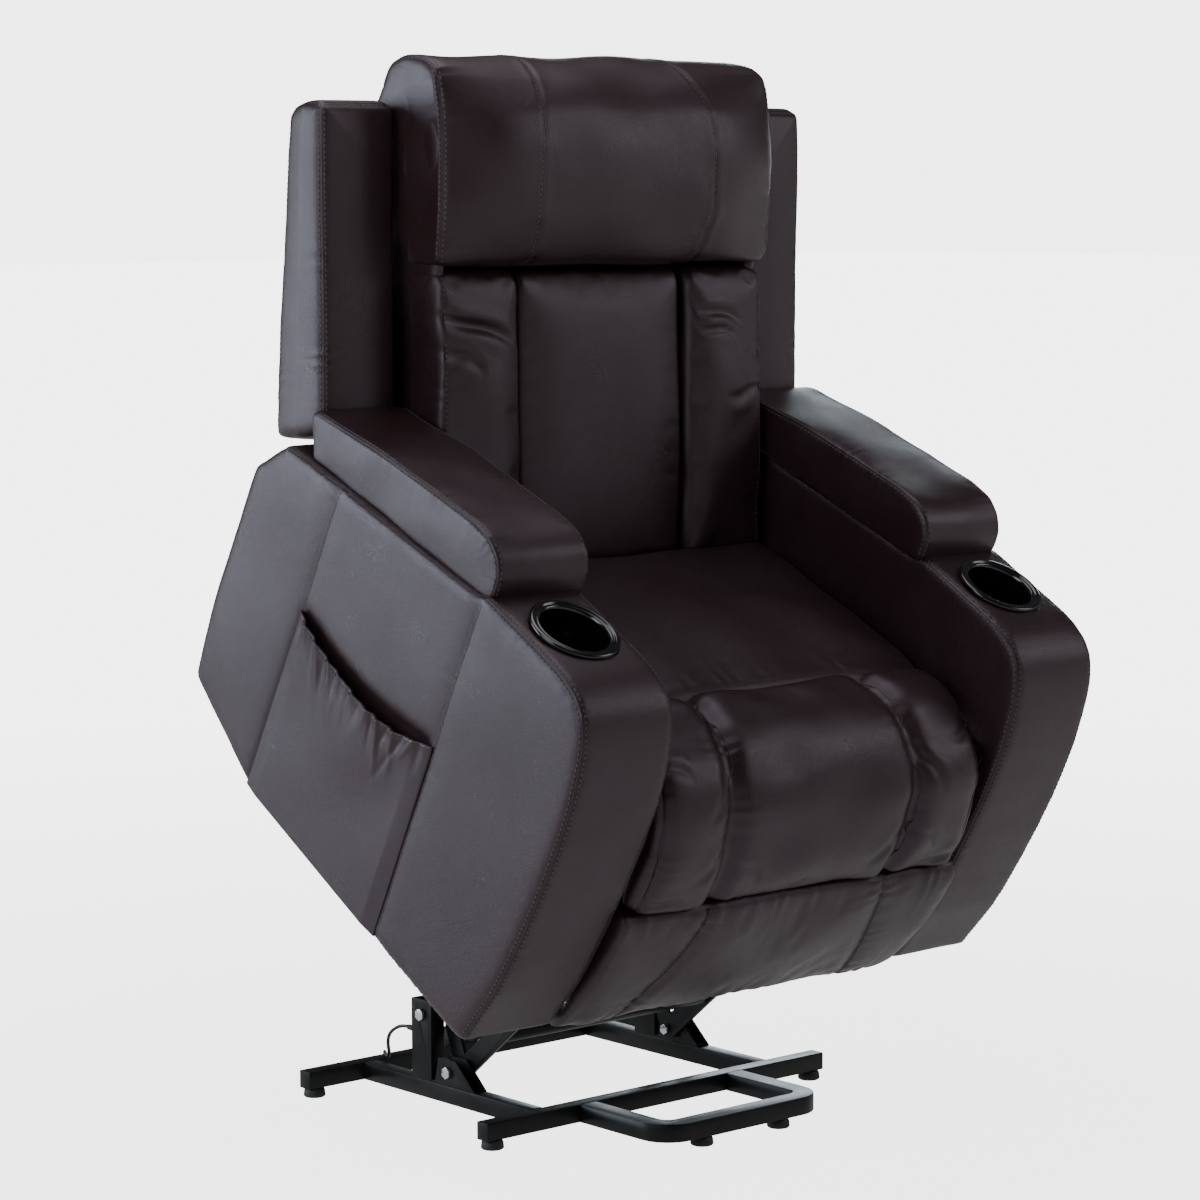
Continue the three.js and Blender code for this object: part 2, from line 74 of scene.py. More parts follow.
def back_frame(p):
    """(x, y, z) of the backrest drawing in mm to the row frame in metres."""
    p = np.asarray(p, float).reshape(-1, 3)
    return (p + [0, YS, 0]) / 1000


# ---------------------------------------------------------------- camera
cam = bpy.data.objects.new("camera", bpy.data.cameras.new("camera"))
scene.collection.objects.link(cam)
az, pitch, roll = math.radians(-40.94), math.radians(6.24), math.radians(-0.18)
fwd = Vector((-math.sin(az) * math.cos(pitch), math.cos(az) * math.cos(pitch), -math.sin(pitch)))
right = Vector((math.cos(az), math.sin(az), 0))
up = right.cross(fwd)
r0 = right * math.cos(roll) + up * math.sin(roll)
u0 = -right * math.sin(roll) + up * math.cos(roll)
m = Matrix((r0, u0, -fwd)).transposed().to_4x4()
m.translation = Vector((-3.33956, -3.75774, 1.26783))
cam.matrix_world = m
cam.data.sensor_width = 36
cam.data.lens = 109.865
cam.data.clip_end = 200
scene.camera = cam


# ---------------------------------------------------------------- materials
def material(name, base, rough, metal=0.0, spec=0.5, coat=0.0, coat_rough=0.1, sheen=0.0):
    mat = bpy.data.materials.new(name)
    mat.use_nodes = True
    nt = mat.node_tree
    bsdf = nt.nodes["Principled BSDF"]
    bsdf.inputs["Base Color"].default_value = (*base, 1)
    bsdf.inputs["Roughness"].default_value = rough
    bsdf.inputs["Metallic"].default_value = metal
    bsdf.inputs["Specular IOR Level"].default_value = spec
    bsdf.inputs["Coat Weight"].default_value = coat
    bsdf.inputs["Coat Roughness"].default_value = coat_rough
    bsdf.inputs["Sheen Weight"].default_value = sheen
    return mat, nt, bsdf


def node(nt, kind, **kw):
    n = nt.nodes.new(kind)
    for k, v in kw.items():
        if k in n.inputs:
            n.inputs[k].default_value = v
        else:
            setattr(n, k, v)
    return n


def tex_noise(nt, vec, scale, detail=4, rough=0.55, dist=0.0):
    n = nt.nodes.new("ShaderNodeTexNoise")
    n.inputs["Scale"].default_value = scale
    n.inputs["Detail"].default_value = detail
    n.inputs["Roughness"].default_value = rough
    n.inputs["Distortion"].default_value = dist
    nt.links.new(vec, n.inputs["Vector"])
    return n.outputs["Fac"]


def ramp(nt, fac, stops):
    n = nt.nodes.new("ShaderNodeValToRGB")
    e = n.color_ramp.elements
    while len(e) < len(stops):
        e.new(0.5)
    for s, (p, c) in zip(e, stops):
        s.position = p
        s.color = (*c, 1) if len(c) == 3 else c
    nt.links.new(fac, n.inputs["Fac"])
    return n.outputs["Color"]


def map_range(nt, v, a, b, c, d):
    n = nt.nodes.new("ShaderNodeMapRange")
    for i, x in zip((1, 2, 3, 4), (a, b, c, d)):
        n.inputs[i].default_value = x
    nt.links.new(v, n.inputs[0])
    return n.outputs[0]


def maths(nt, op, a, b):
    n = nt.nodes.new("ShaderNodeMath")
    n.operation = op
    for i, x in enumerate((a, b)):
        if isinstance(x, (int, float)):
            n.inputs[i].default_value = x
        else:
            nt.links.new(x, n.inputs[i])
    return n.outputs[0]


def bump(nt, bsdf, height, strength, distance):
    n = nt.nodes.new("ShaderNodeBump")
    n.inputs["Strength"].default_value = strength
    n.inputs["Distance"].default_value = distance
    nt.links.new(height, n.inputs["Height"])
    nt.links.new(n.outputs["Normal"], bsdf.inputs["Normal"])


def coords_of(nt):
    return nt.nodes.new("ShaderNodeTexCoord").outputs["Object"]


def leather_mat(name, a=(0.0165, 0.0060, 0.0070), b=(0.0245, 0.0110, 0.0124), rough=0.32):
    mat, nt, bsdf = material(name, a, rough, spec=0.5)
    bsdf.inputs["Specular Tint"].default_value = (0.97, 0.88, 0.99, 1)
    co = coords_of(nt)
    big = tex_noise(nt, co, 5.0, 3)
    nt.links.new(ramp(nt, big, [(0.3, a), (0.72, b)]), bsdf.inputs["Base Color"])
    blot = tex_noise(nt, co, 14.0, 5, 0.6)
    fine = tex_noise(nt, co, 170.0, 4, 0.7)
    mixed = maths(nt, "ADD", maths(nt, "MULTIPLY", blot, 0.6), maths(nt, "MULTIPLY", fine, 0.4))
    nt.links.new(map_range(nt, mixed, 0.3, 0.7, rough - 0.07, rough + 0.10), bsdf.inputs["Roughness"])
    vor = nt.nodes.new("ShaderNodeTexVoronoi")
    vor.feature = "DISTANCE_TO_EDGE"
    vor.inputs["Scale"].default_value = 620
    warp = node(nt, "ShaderNodeVectorMath", operation="ADD")
    nz = nt.nodes.new("ShaderNodeTexNoise")
    nz.inputs["Scale"].default_value = 220
    nz.inputs["Detail"].default_value = 2
    nt.links.new(co, nz.inputs["Vector"])
    sc = node(nt, "ShaderNodeVectorMath", operation="SCALE")
    sc.inputs["Scale"].default_value = 0.0016
    nt.links.new(nz.outputs["Color"], sc.inputs[0])
    nt.links.new(co, warp.inputs[0])
    nt.links.new(sc.outputs[0], warp.inputs[1])
    nt.links.new(warp.outputs[0], vor.inputs["Vector"])
    pebble = map_range(nt, vor.outputs["Distance"], 0.0, 0.18, 0.0, 1.0)
    pores = tex_noise(nt, co, 1400.0, 2, 0.5)
    creases = tex_noise(nt, co, 42.0, 6, 0.62, 0.6)
    h = maths(nt, "ADD", maths(nt, "MULTIPLY", pebble, 0.5), maths(nt, "MULTIPLY", pores, 0.25))
    h = maths(nt, "ADD", h, maths(nt, "MULTIPLY", creases, 1.1))
    bump(nt, bsdf, h, 0.34, 0.0006)
    return mat


def painted_steel_mat(name, base=(0.0045, 0.0045, 0.005), rough=0.34):
    mat, nt, bsdf = material(name, base, rough, spec=0.20, coat=0.04, coat_rough=0.2)
    co = coords_of(nt)
    peel = tex_noise(nt, co, 520.0, 3)
    dust = tex_noise(nt, co, 22.0, 6, 0.65)
    nt.links.new(ramp(nt, dust, [(0.35, base), (0.85, (0.013, 0.0125, 0.012))]), bsdf.inputs["Base Color"])
    nt.links.new(map_range(nt, dust, 0.3, 0.8, rough - 0.03, rough + 0.14), bsdf.inputs["Roughness"])
    bump(nt, bsdf, peel, 0.22, 0.0004)
    return mat


def plain_mat(name, a, b, rough, metal=0.0, scale=30.0, grain=600.0, bump_mm=0.3, strength=0.2, coat=0.0, spec=0.5, spread=0.06):
    mat, nt, bsdf = material(name, a, rough, metal, spec, coat, 0.08)
    co = coords_of(nt)
    n1 = tex_noise(nt, co, scale, 5, 0.6)
    nt.links.new(ramp(nt, n1, [(0.3, a), (0.75, b)]), bsdf.inputs["Base Color"])
    nt.links.new(map_range(nt, n1, 0.25, 0.75, max(0.03, rough - spread), rough + spread), bsdf.inputs["Roughness"])
    bump(nt, bsdf, tex_noise(nt, co, grain, 3), strength, bump_mm / 1000)
    return mat


def wood_mat(name):
    mat, nt, bsdf = material(name, (0.4, 0.25, 0.12), 0.6)
    co = coords_of(nt)
    mp = nt.nodes.new("ShaderNodeMapping")
    mp.inputs["Scale"].default_value = (1.2, 14, 22)
    nt.links.new(co, mp.inputs["Vector"])
    grain = tex_noise(nt, mp.outputs[0], 6.0, 6, 0.6, 1.2)
    nt.links.new(ramp(nt, grain, [(0.3, (0.010, 0.009, 0.008)), (0.5, (0.026, 0.022, 0.018)), (0.75, (0.015, 0.013, 0.011))]), bsdf.inputs["Base Color"])
    nt.links.new(map_range(nt, grain, 0.2, 0.8, 0.5, 0.75), bsdf.inputs["Roughness"])
    bump(nt, bsdf, grain, 0.4, 0.0006)
    return mat


def woven_mat(name, a=(0.012, 0.012, 0.0125), b=(0.03, 0.03, 0.031), pitch=900.0):
    mat, nt, bsdf = material(name, a, 0.88, sheen=0.15)
    co = coords_of(nt)
    waves = []
    for axis in ("X", "Z"):
        w = nt.nodes.new("ShaderNodeTexWave")
        w.wave_type = "BANDS"
        w.bands_direction = axis
        w.inputs["Scale"].default_value = pitch / 6.283
        w.inputs["Distortion"].default_value = 0.6
        nt.links.new(co, w.inputs["Vector"])
        waves.append(w.outputs["Fac"])
    h = maths(nt, "MAXIMUM", waves[0], waves[1])
    nt.links.new(ramp(nt, h, [(0.2, a), (0.95, b)]), bsdf.inputs["Base Color"])
    nt.links.new(map_range(nt, tex_noise(nt, co, 40, 3), 0.2, 0.8, 0.8, 0.95), bsdf.inputs["Roughness"])
    bump(nt, bsdf, h, 0.5, 0.0004)
    return mat


LEATHER = leather_mat("leather_espresso")
THREAD = plain_mat("thread_brown", (0.055, 0.037, 0.035), (0.090, 0.064, 0.060), 0.5, grain=2500, bump_mm=0.15, strength=0.5, scale=400)
STEEL = painted_steel_mat("black_powder_coat")
LINKS = painted_steel_mat("black_link_steel", (0.008, 0.008, 0.0085), 0.34)
ZINC = plain_mat("zinc_plated", (0.62, 0.63, 0.65), (0.78, 0.79, 0.80), 0.24, metal=1.0, scale=90, grain=900, bump_mm=0.1, strength=0.15)
ROD = plain_mat("polished_rod", (0.55, 0.56, 0.57), (0.7, 0.7, 0.72), 0.16, metal=1.0, scale=60, grain=1500, bump_mm=0.05, strength=0.1)
RUBBER = plain_mat("foot_rubber", (0.007, 0.007, 0.007), (0.016, 0.015, 0.015), 0.62, scale=50, grain=1100, bump_mm=0.4, strength=0.35)
CORD_M = plain_mat("cord_jacket", (0.006, 0.006, 0.006), (0.010, 0.010, 0.010), 0.42, scale=60, grain=900, bump_mm=0.1, strength=0.15)
PLUG_M = plain_mat("plug_plastic", (0.006, 0.006, 0.0065), (0.011, 0.011, 0.012), 0.36, scale=70, grain=1300, bump_mm=0.2, strength=0.3)
CUP_M = plain_mat("cup_plastic", (0.0028, 0.0028, 0.003), (0.0048, 0.0048, 0.005), 0.14, scale=45, grain=700, bump_mm=0.06, strength=0.08, coat=0.3, spread=0.05)
HOUSING = plain_mat("actuator_plastic", (0.010, 0.010, 0.011), (0.018, 0.018, 0.019), 0.48, scale=40, grain=1500, bump_mm=0.3, strength=0.4)
WOOD = wood_mat("frame_plywood")
# painted shade: a near-black material for the strips under the stitch rows, standing in for the shade in the seam's dip
# and needle holes
SHADOW = plain_mat("needle_line", (0.0022, 0.0014, 0.0014), (0.0040, 0.0026, 0.0026), 0.75, grain=1800, bump_mm=0.1, strength=0.3, scale=200)
DUST = woven_mat("dust_cloth")


# ---------------------------------------------------------------- mesh helpers
def link(ob):
    scene.collection.objects.link(ob)
    return ob


def new_object(name, verts, faces, mat=None, smooth=True):
    me = bpy.data.meshes.new(name)
    me.from_pydata([tuple(v) for v in verts], [], [tuple(f) for f in faces])
    me.validate()
    ob = link(bpy.data.objects.new(name, me))
    if mat:
        me.materials.append(mat)
    if smooth:
        me.polygons.foreach_set("use_smooth", [True] * len(me.polygons))
    return ob


def get_co(ob):
    a = np.empty(len(ob.data.vertices) * 3, np.float32)
    ob.data.vertices.foreach_get("co", a)
    return a.reshape(-1, 3).astype(float)


def set_co(ob, p):
    ob.data.vertices.foreach_set("co", p.astype(np.float32).ravel())
    ob.data.update()


def get_normals(ob):
    ob.data.update()
    a = np.empty(len(ob.data.vertices) * 3, np.float32)
    ob.data.vertex_normals.foreach_get("vector", a)
    return a.reshape(-1, 3).astype(float)


def get_edges(ob):
    e = np.empty(len(ob.data.edges) * 2, np.int32)
    ob.data.edges.foreach_get("vertices", e)
    return e.reshape(-1, 2)


def average(values, e, n, deg):
    if values.ndim == 1:
        return (np.bincount(e[:, 0], values[e[:, 1]], n) + np.bincount(e[:, 1], values[e[:, 0]], n)) / deg
    return np.stack([average(values[:, k], e, n, deg) for k in range(values.shape[1])], 1)


def relax(ob, times, f=0.5, mask=None):
    p, e = get_co(ob), get_edges(ob)
    n = len(p)
    deg = np.maximum(np.bincount(e.ravel(), minlength=n), 1)
    for _ in range(times):
        step = (average(p, e, n, deg) - p) * f
        p = p + (step if mask is None else step * mask[:, None])
    set_co(ob, p)


def settle(ob):
    """Applies the modifiers by taking the evaluated mesh."""
    dg = bpy.context.evaluated_depsgraph_get()
    me = bpy.data.meshes.new_from_object(ob.evaluated_get(dg))
    old = ob.data
    ob.modifiers.clear()
    mats = [m for m in old.materials]
    ob.data = me
    me.materials.clear()
    for x in mats:
        me.materials.append(x)
    me.polygons.foreach_set("use_smooth", [True] * len(me.polygons))
    return ob


def remesh(ob, voxel):
    mod = ob.modifiers.new("remesh", "REMESH")
    mod.mode = "VOXEL"
    mod.voxel_size = voxel / 1000
    mod.use_smooth_shade = True
    return settle(ob)


def subdivide(ob, levels=1):
    mod = ob.modifiers.new("subdivision", "SUBSURF")
    mod.levels = mod.render_levels = levels
    return settle(ob)


def bool_cut(ob, cutter):
    mod = ob.modifiers.new("cut", "BOOLEAN")
    mod.object = cutter
    mod.operation = "DIFFERENCE"
    mod.solver = "EXACT"
    settle(ob)
    bpy.data.objects.remove(cutter)
    return ob


def prism(name, pts, x0, x1, to_row, bevel=8.0, segments=3, mat=None):
    bm = bmesh.new()
    a = [bm.verts.new(v) for v in to_row([(x0, p, q) for p, q in pts])]
    b = [bm.verts.new(v) for v in to_row([(x1, p, q) for p, q in pts])]
    bm.faces.new(a)
    bm.faces.new(b[::-1])
    n = len(pts)
    for i in range(n):
        j = (i + 1) % n
        bm.faces.new((a[j], a[i], b[i], b[j]))
    bmesh.ops.recalc_face_normals(bm, faces=bm.faces[:])
    if bevel:
        bmesh.ops.bevel(bm, geom=bm.edges[:], offset=bevel / 1000, segments=segments, profile=0.6, affect="EDGES", clamp_overlap=True)
        bmesh.ops.recalc_face_normals(bm, faces=bm.faces[:])
    me = bpy.data.meshes.new(name)
    bm.to_mesh(me)
    bm.free()
    ob = link(bpy.data.objects.new(name, me))
    if mat:
        me.materials.append(mat)
    return ob


def chaikin(pts, times=1, cut=0.2):
    for _ in range(times):
        out = []
        for i in range(len(pts)):
            (ax, ay), (bx, by) = pts[i], pts[(i + 1) % len(pts)]
            out += [(ax + (bx - ax) * cut, ay + (by - ay) * cut), (bx + (ax - bx) * cut, by + (ay - by) * cut)]
        pts = out
    return pts


def waves(p, size, seed, k=14):
    """A smooth random field of unit spread; size is the usual bump size in metres."""
    r = np.random.default_rng(seed)
    d = r.normal(size=(k, 3))
    d /= np.linalg.norm(d, axis=1)[:, None]
    f = 2 * math.pi / (2 * size) * r.uniform(0.6, 1.5, k)
    return np.sin(p @ (d * f[:, None]).T + r.uniform(0, 6.28, k)).sum(1) / math.sqrt(k / 2)


def dense(line, step=0.003, closed=False):
    line = np.asarray(line, float)
    if closed:
        line = np.vstack([line, line[:1]])
    seg = np.linalg.norm(np.diff(line, axis=0), axis=1)
    s = np.concatenate([[0], np.cumsum(seg)])
    n = max(2, int(round(s[-1] / step)) + 1)
    t = np.linspace(0, s[-1], n)
    return np.stack([np.interp(t, s, line[:, k]) for k in range(3)], 1), t


def smooth_line(line, times=6):
    line = np.array(line)
    for _ in range(times):
        line[1:-1] = (line[:-2] + 2 * line[1:-1] + line[2:]) / 4
    return line


def tree_of(ob):
    return BVHTree.FromObject(ob, bpy.context.evaluated_depsgraph_get())


def snap(bvh, line):
    pts, nor = [], []
    for p in line:
        q, n, _, _ = bvh.find_nearest(Vector(p))
        pts.append(q)
        nor.append(n)
    return np.array(pts), np.array(nor)


def near(p, lines, reach):
    """Distance to the lines, and the place along them, for the points closer than reach."""
    d, s = np.full(len(p), 1.0), np.zeros(len(p))
    if not lines:
        return d, s
    total = sum(len(l) for l in lines)
    kd = KDTree(total)
    arc, i = [], 0
    for j, l in enumerate(lines):
        t = np.concatenate([[0], np.cumsum(np.linalg.norm(np.diff(l, axis=0), axis=1))]) + j * 7.3
        for q, a in zip(l, t):
            kd.insert(q, i)
            arc.append(a)
            i += 1
    kd.balance()
    allp = np.vstack(lines)
    lo, hi = allp.min(0) - reach, allp.max(0) + reach
    todo = np.where(((p >= lo) & (p <= hi)).all(1))[0]
    for k in todo:
        _, i, dist = kd.find(p[k])
        d[k], s[k] = dist, arc[i]
    return d, s


def wobble(s, seed):
    r = np.random.default_rng(seed)
    out = 0
    for k in range(5):
        out = out + np.sin(s * r.uniform(20, 110) + r.uniform(0, 6.28)) * r.uniform(0.4, 1)
    return out


def pucker(ob, lines, amp, reach, pitch, seed, groove=2.0, width=5.0):
    """Gathers at right angles to the seams, and the dip of the seams themselves."""
    p = get_co(ob)
    d, s = near(p, lines, (reach * 4) / 1000)
    dm = d * 1000
    ph = s * 2 * math.pi / (pitch / 1000) + 1.3 * wobble(s, seed)
    power = np.clip(0.55 + 0.45 * wobble(s * 0.6, seed + 5), 0.05, 1.6)
    k = np.exp(-dm / reach) * (1 - np.exp(-(dm / (width * 0.8)) ** 2))
    h = amp * power * k * np.sin(ph) - groove * np.exp(-(dm / width) ** 2)
    set_co(ob, p + get_normals(ob) * (h / 1000)[:, None])


def fold(ob, a, b, amp, width, lean=0.5):
    """One soft crease from a to b with a ridge beside it."""
    p, n = get_co(ob), get_normals(ob)
    a, b = np.asarray(a, float), np.asarray(b, float)
    ab = b - a
    l = np.linalg.norm(ab)
    t = (p - a) @ ab / l ** 2
    across = (p - a) - t[:, None] * ab
    mid = int(np.argmin(np.linalg.norm(p - (a + b) / 2, axis=1)))
    side = np.cross(n[mid], ab / l)
    q = across @ side * 1000
    off = np.linalg.norm(across, axis=1) * 1000
    env = np.where((t > 0) & (t < 1), np.sin(math.pi * np.clip(t, 0, 1)) ** 0.8, 0) * (off < width * 6)
    q = q + 3 * np.sin(t * 7.0)
    h = amp * env * (-np.exp(-(q / width) ** 2) + lean * np.exp(-((q - 1.9 * width) / (1.3 * width)) ** 2) + 0.35 * np.exp(-((q + 2.1 * width) / (1.5 * width)) ** 2))
    set_co(ob, p + n * (h / 1000)[:, None])


def undulate(ob, amp, size, seed):
    p = get_co(ob)
    set_co(ob, p + get_normals(ob) * (amp / 1000 * waves(p, size / 1000, seed))[:, None])


def swell(ob, lines, amp, reach):
    """The plump middle of a taut panel between its seams."""
    p = get_co(ob)
    d, _ = near(p, lines, reach * 3 / 1000)
    set_co(ob, p + get_normals(ob) * (amp / 1000 * (1 - np.exp(-(d * 1000 / reach) ** 1.4)))[:, None])


def soft_limit(ob, axis, low=None, high=None, soft=6.0, rotate=None):
    """Keeps a piece on its side of a plane, in mm of the row frame."""
    p = get_co(ob) * 1000
    v = p[:, axis]
    if high is not None:
        over = v - (high - soft)
        v = np.where(over > 0, high - soft + soft * np.tanh(over / soft), v)
    if low is not None:
        over = (low + soft) - v
        v = np.where(over > 0, low + soft - soft * np.tanh(over / soft), v)
    p[:, axis] = v
    set_co(ob, p / 1000)


def mirrored(ob, name):
    me = ob.data.copy()
    me.name = name
    other = link(bpy.data.objects.new(name, me))
    me.transform(Matrix.Scale(-1, 4, (1, 0, 0)))
    me.flip_normals()
    return other


# ---------------------------------------------------------------- cloth
waiting = []


UP, DOWN, BACK, FRONT = np.array([0, -SB, CB]), np.array([0, SB, -CB]), np.array([0, CB, SB]), np.array([0, -CB, -SB])
SIDES = [(np.array([1.0, 0, 0]), 0.8), (np.array([-1.0, 0, 0]), 0.8)]


def puff(ob, pins, pin_reach=7.0, inset=8.0, cap=20.0, pressure=4.0, slack=-0.005, sink=0.0, stiff=15.0, bend=2.0, hold=()):
    """Readies a remeshed pad for the cloth pressure run; the seams named by pins are held, and so are the faces
    that look along a direction in hold, which rest on the frame or on a neighbour."""
    p, n = get_co(ob), get_normals(ob)
    d, _ = near(p, pins, 0.06)
    dm = d * 1000
    pin = np.clip(1.4 - dm / pin_reach, 0, 1)
    for way, least in hold:
        pin = np.maximum(pin, np.clip((n @ way - least) / 0.15, 0, 1))
    free = 1 - pin
    e = get_edges(ob)
    deg = np.maximum(np.bincount(e.ravel(), minlength=len(p)), 1)
    for _ in range(6):
        free = np.minimum(free, 0.5 * free + 0.5 * average(free, e, len(p), deg)) if _ < 2 else 0.5 * free + 0.5 * average(free, e, len(p), deg)
    p = p - n * (inset / 1000 * free)[:, None] - n * (sink / 1000 * np.exp(-(dm / 14.0) ** 2))[:, None]
    set_co(ob, p)
    relax(ob, 2, 0.5, np.clip(free + 0.3, 0, 1))
    ob["cap"] = cap
    waiting.append((ob, pin, get_co(ob), dict(pressure=pressure, slack=slack, stiff=stiff, bend=bend)))


def run_cloth():
    for ob, pin, rest, a in waiting:
        g = ob.vertex_groups.new(name="pin")
        for lvl in (0.25, 0.5, 0.75, 1.0):
            idx = np.where((pin > lvl - 0.25) & (pin <= lvl))[0]
            if len(idx):
                g.add([int(i) for i in idx], lvl, "REPLACE")
        mod = ob.modifiers.new("cloth", "CLOTH")
        c = mod.settings
        c.quality = 4
        c.mass = 0.3
        c.tension_stiffness = c.compression_stiffness = a["stiff"]
        c.shear_stiffness = a["stiff"] * 0.4
        c.bending_stiffness = a["bend"]
        c.use_pressure = True
        c.uniform_pressure_force = a["pressure"]
        c.effector_weights.gravity = 0
        c.vertex_group_mass = "pin"
        c.shrink_min = a["slack"]
        mod.collision_settings.use_collision = False
        mod.collision_settings.use_self_collision = False
    if waiting:
        for f in range(1, 21):
            scene.frame_set(f)
        bpy.context.view_layer.update()
        for ob, pin, rest, a in waiting:
            settle(ob)
        scene.frame_set(1)
    for ob, pin, rest, a in waiting:
        p = get_co(ob)
        move = p - rest
        size = np.linalg.norm(move, axis=1) * 1000
        cap = ob["cap"]
        keep = np.where(size > 0.6 * cap, (0.6 * cap + 0.4 * cap * np.tanh((size - 0.6 * cap) / (0.4 * cap))) / np.maximum(size, 1e-6), 1)
        print("cloth", ob.name, len(p), "moved mm mean %.1f max %.1f" % (size.mean(), size.max()))
        set_co(ob, rest + move * keep[:, None])
        relax(ob, 1, 0.4)
    waiting.clear()
    print("cloth done %.1f s" % (time.time() - T0))


# ---------------------------------------------------------------- stitches and piping
def stitch_mesh(name, rows, mat, length=4.9, gap=2.5, r=0.80):
    """rows of (points, normals): thread seen as short rounded dashes."""
    ring = [(math.cos(a) * r, math.sin(a) * r * 0.75) for a in np.linspace(0, 2 * math.pi, 6, endpoint=False)]
    prof = [(-0.5, 0.35, -0.45), (-0.30, 1.0, 0.28), (0.30, 1.0, 0.28), (0.5, 0.35, -0.45)]
    verts, faces = [], []
    for pts, nor in rows:
        s = np.concatenate([[0], np.cumsum(np.linalg.norm(np.diff(pts, axis=0), axis=1))]) * 1000
        count = int(s[-1] / (length + gap))
        for c in range(count):
            mid = (c + 0.5) * (length + gap)
            pa, pb = [np.array([np.interp(mid + q, s, pts[:, k]) for k in range(3)]) for q in (-0.5 * length, 0.5 * length)]
            n = np.array([np.interp(mid, s, nor[:, k]) for k in range(3)])
            n /= max(np.linalg.norm(n), 1e-9)
            t = pb - pa
            t /= max(np.linalg.norm(t), 1e-9)
            b = np.cross(n, t)
            base = len(verts)
            centre = (pa + pb) / 2
            for f, k, lift in prof:
                for (x, y) in ring:
                    verts.append(centre + t * f * length / 1000 + b * x * k / 1000 + n * (y * k + lift * r) / 1000)
            for j in range(3):
                for i in range(6):
                    i2 = (i + 1) % 6
                    faces.append((base + j * 6 + i, base + j * 6 + i2, base + (j + 1) * 6 + i2, base + (j + 1) * 6 + i))
            faces.append(tuple(base + i for i in range(5, -1, -1)))
            faces.append(tuple(base + 18 + i for i in range(6)))
    return new_object(name, verts, faces, mat)


def offset_row(bvh, line, mm):
    pts, nor = snap(bvh, line)
    nor = smooth_line(nor, 3)
    t = np.gradient(pts, axis=0)
    t /= np.maximum(np.linalg.norm(t, axis=1)[:, None], 1e-9)
    b = np.cross(nor, t)
    b /= np.maximum(np.linalg.norm(b, axis=1)[:, None], 1e-9)
    q, n2 = snap(bvh, pts + b * mm / 1000)
    return smooth_line(q, 2), n2


def piping(name, lines, r, mat, sides=6):
    """Thin folded edge along a seam, closed at both ends."""
    verts, faces = [], []
    for pts, nor in lines:
        pts = smooth_line(pts, 4)
        t = np.gradient(pts, axis=0)
        t /= np.maximum(np.linalg.norm(t, axis=1)[:, None], 1e-9)
        base = len(verts)
        for p, n, tt in zip(pts, nor, t):
            b = np.cross(n, tt)
            b /= max(np.linalg.norm(b), 1e-9)
            nn = np.cross(tt, b)
            for k in range(sides):
                a = 2 * math.pi * k / sides
                verts.append(p + (b * math.cos(a) * r + nn * math.sin(a) * r * 0.8) / 1000)
        for i in range(len(pts) - 1):
            for k in range(sides):
                k2 = (k + 1) % sides
                faces.append((base + i * sides + k, base + i * sides + k2, base + (i + 1) * sides + k2, base + (i + 1) * sides + k))
        faces.append(tuple(base + k for k in range(sides - 1, -1, -1)))
        faces.append(tuple(base + (len(pts) - 1) * sides + k for k in range(sides)))
    return new_object(name, verts, faces, mat)


def lathe(name, prof, centre, axis, mat, segments=96):
    """prof is (radius, height) in mm, closed at the axis; centre in the row frame, metres."""
    axis = np.array(axis, float)
    axis /= np.linalg.norm(axis)
    a = np.cross(axis, [1, 0, 0]) if abs(axis[0]) < 0.9 else np.cross(axis, [0, 1, 0])
    a /= np.linalg.norm(a)
    b = np.cross(axis, a)
    verts, faces, rings = [], [], []
    for r, h in prof:
        if r < 1e-6:
            rings.append([len(verts)])
            verts.append(centre + axis * h / 1000)
        else:
            rings.append(list(range(len(verts), len(verts) + segments)))
            for k in range(segments):
                t = 2 * math.pi * k / segments
                verts.append(centre + (a * math.cos(t) * r + b * math.sin(t) * r + axis * h) / 1000)
    for p, q in zip(rings, rings[1:]):
        for k in range(segments):
            k2 = (k + 1) % segments
            if len(p) == 1 and len(q) == 1:
                continue
            if len(p) == 1:
                faces.append((p[0], q[k2], q[k]))
            elif len(q) == 1:
                faces.append((p[k], p[k2], q[0]))
            else:
                faces.append((p[k], p[k2], q[k2], q[k]))
    ob = new_object(name, verts, faces, mat)
    bm = bmesh.new()
    bm.from_mesh(ob.data)
    bmesh.ops.recalc_face_normals(bm, faces=bm.faces[:])
    bm.to_mesh(ob.data)
    bm.free()
    ob.data.polygons.foreach_set("use_smooth", [True] * len(ob.data.polygons))
    return ob


# ---------------------------------------------------------------- power lead
CORD_PATH = [[-210, 95.6, 104], [-210, 104, 103.8], [-211, 116, 101], [-213, 128, 94], [-214, 136, 84], [-213, 139, 72],
             [-210, 141, 62], [-205, 147, 54], [-198, 158, 48.5], [-189, 172, 45], [-180, 186, 43], [-172, 199, 42.6], [-165, 210, 41.2], [-158, 219, 34], [-151, 228, 22],
             [-141, 240, 9], [-131, 249, 4.2], [-118, 257, 3.1], [-104, 263, 3.1], [-90, 268, 3.1], [-78, 272.5, 3.1], [-66, 276.5, 3.1], [-58.6, 279, 3.1]]


def catmull(pts, per):
    pts = np.asarray(pts, float)
    ext = np.vstack([2 * pts[0] - pts[1], pts, 2 * pts[-1] - pts[-2]])
    out = []
    for i in range(1, len(ext) - 2):
        p0, p1, p2, p3 = ext[i - 1:i + 3]
        for t in np.linspace(0, 1, per, endpoint=False):
            out.append(0.5 * ((2 * p1) + (-p0 + p2) * t + (2 * p0 - 5 * p1 + 4 * p2 - p3) * t ** 2 + (-p0 + 3 * p1 - 3 * p2 + p3) * t ** 3))
    out.append(ext[-2])
    return np.array(out)


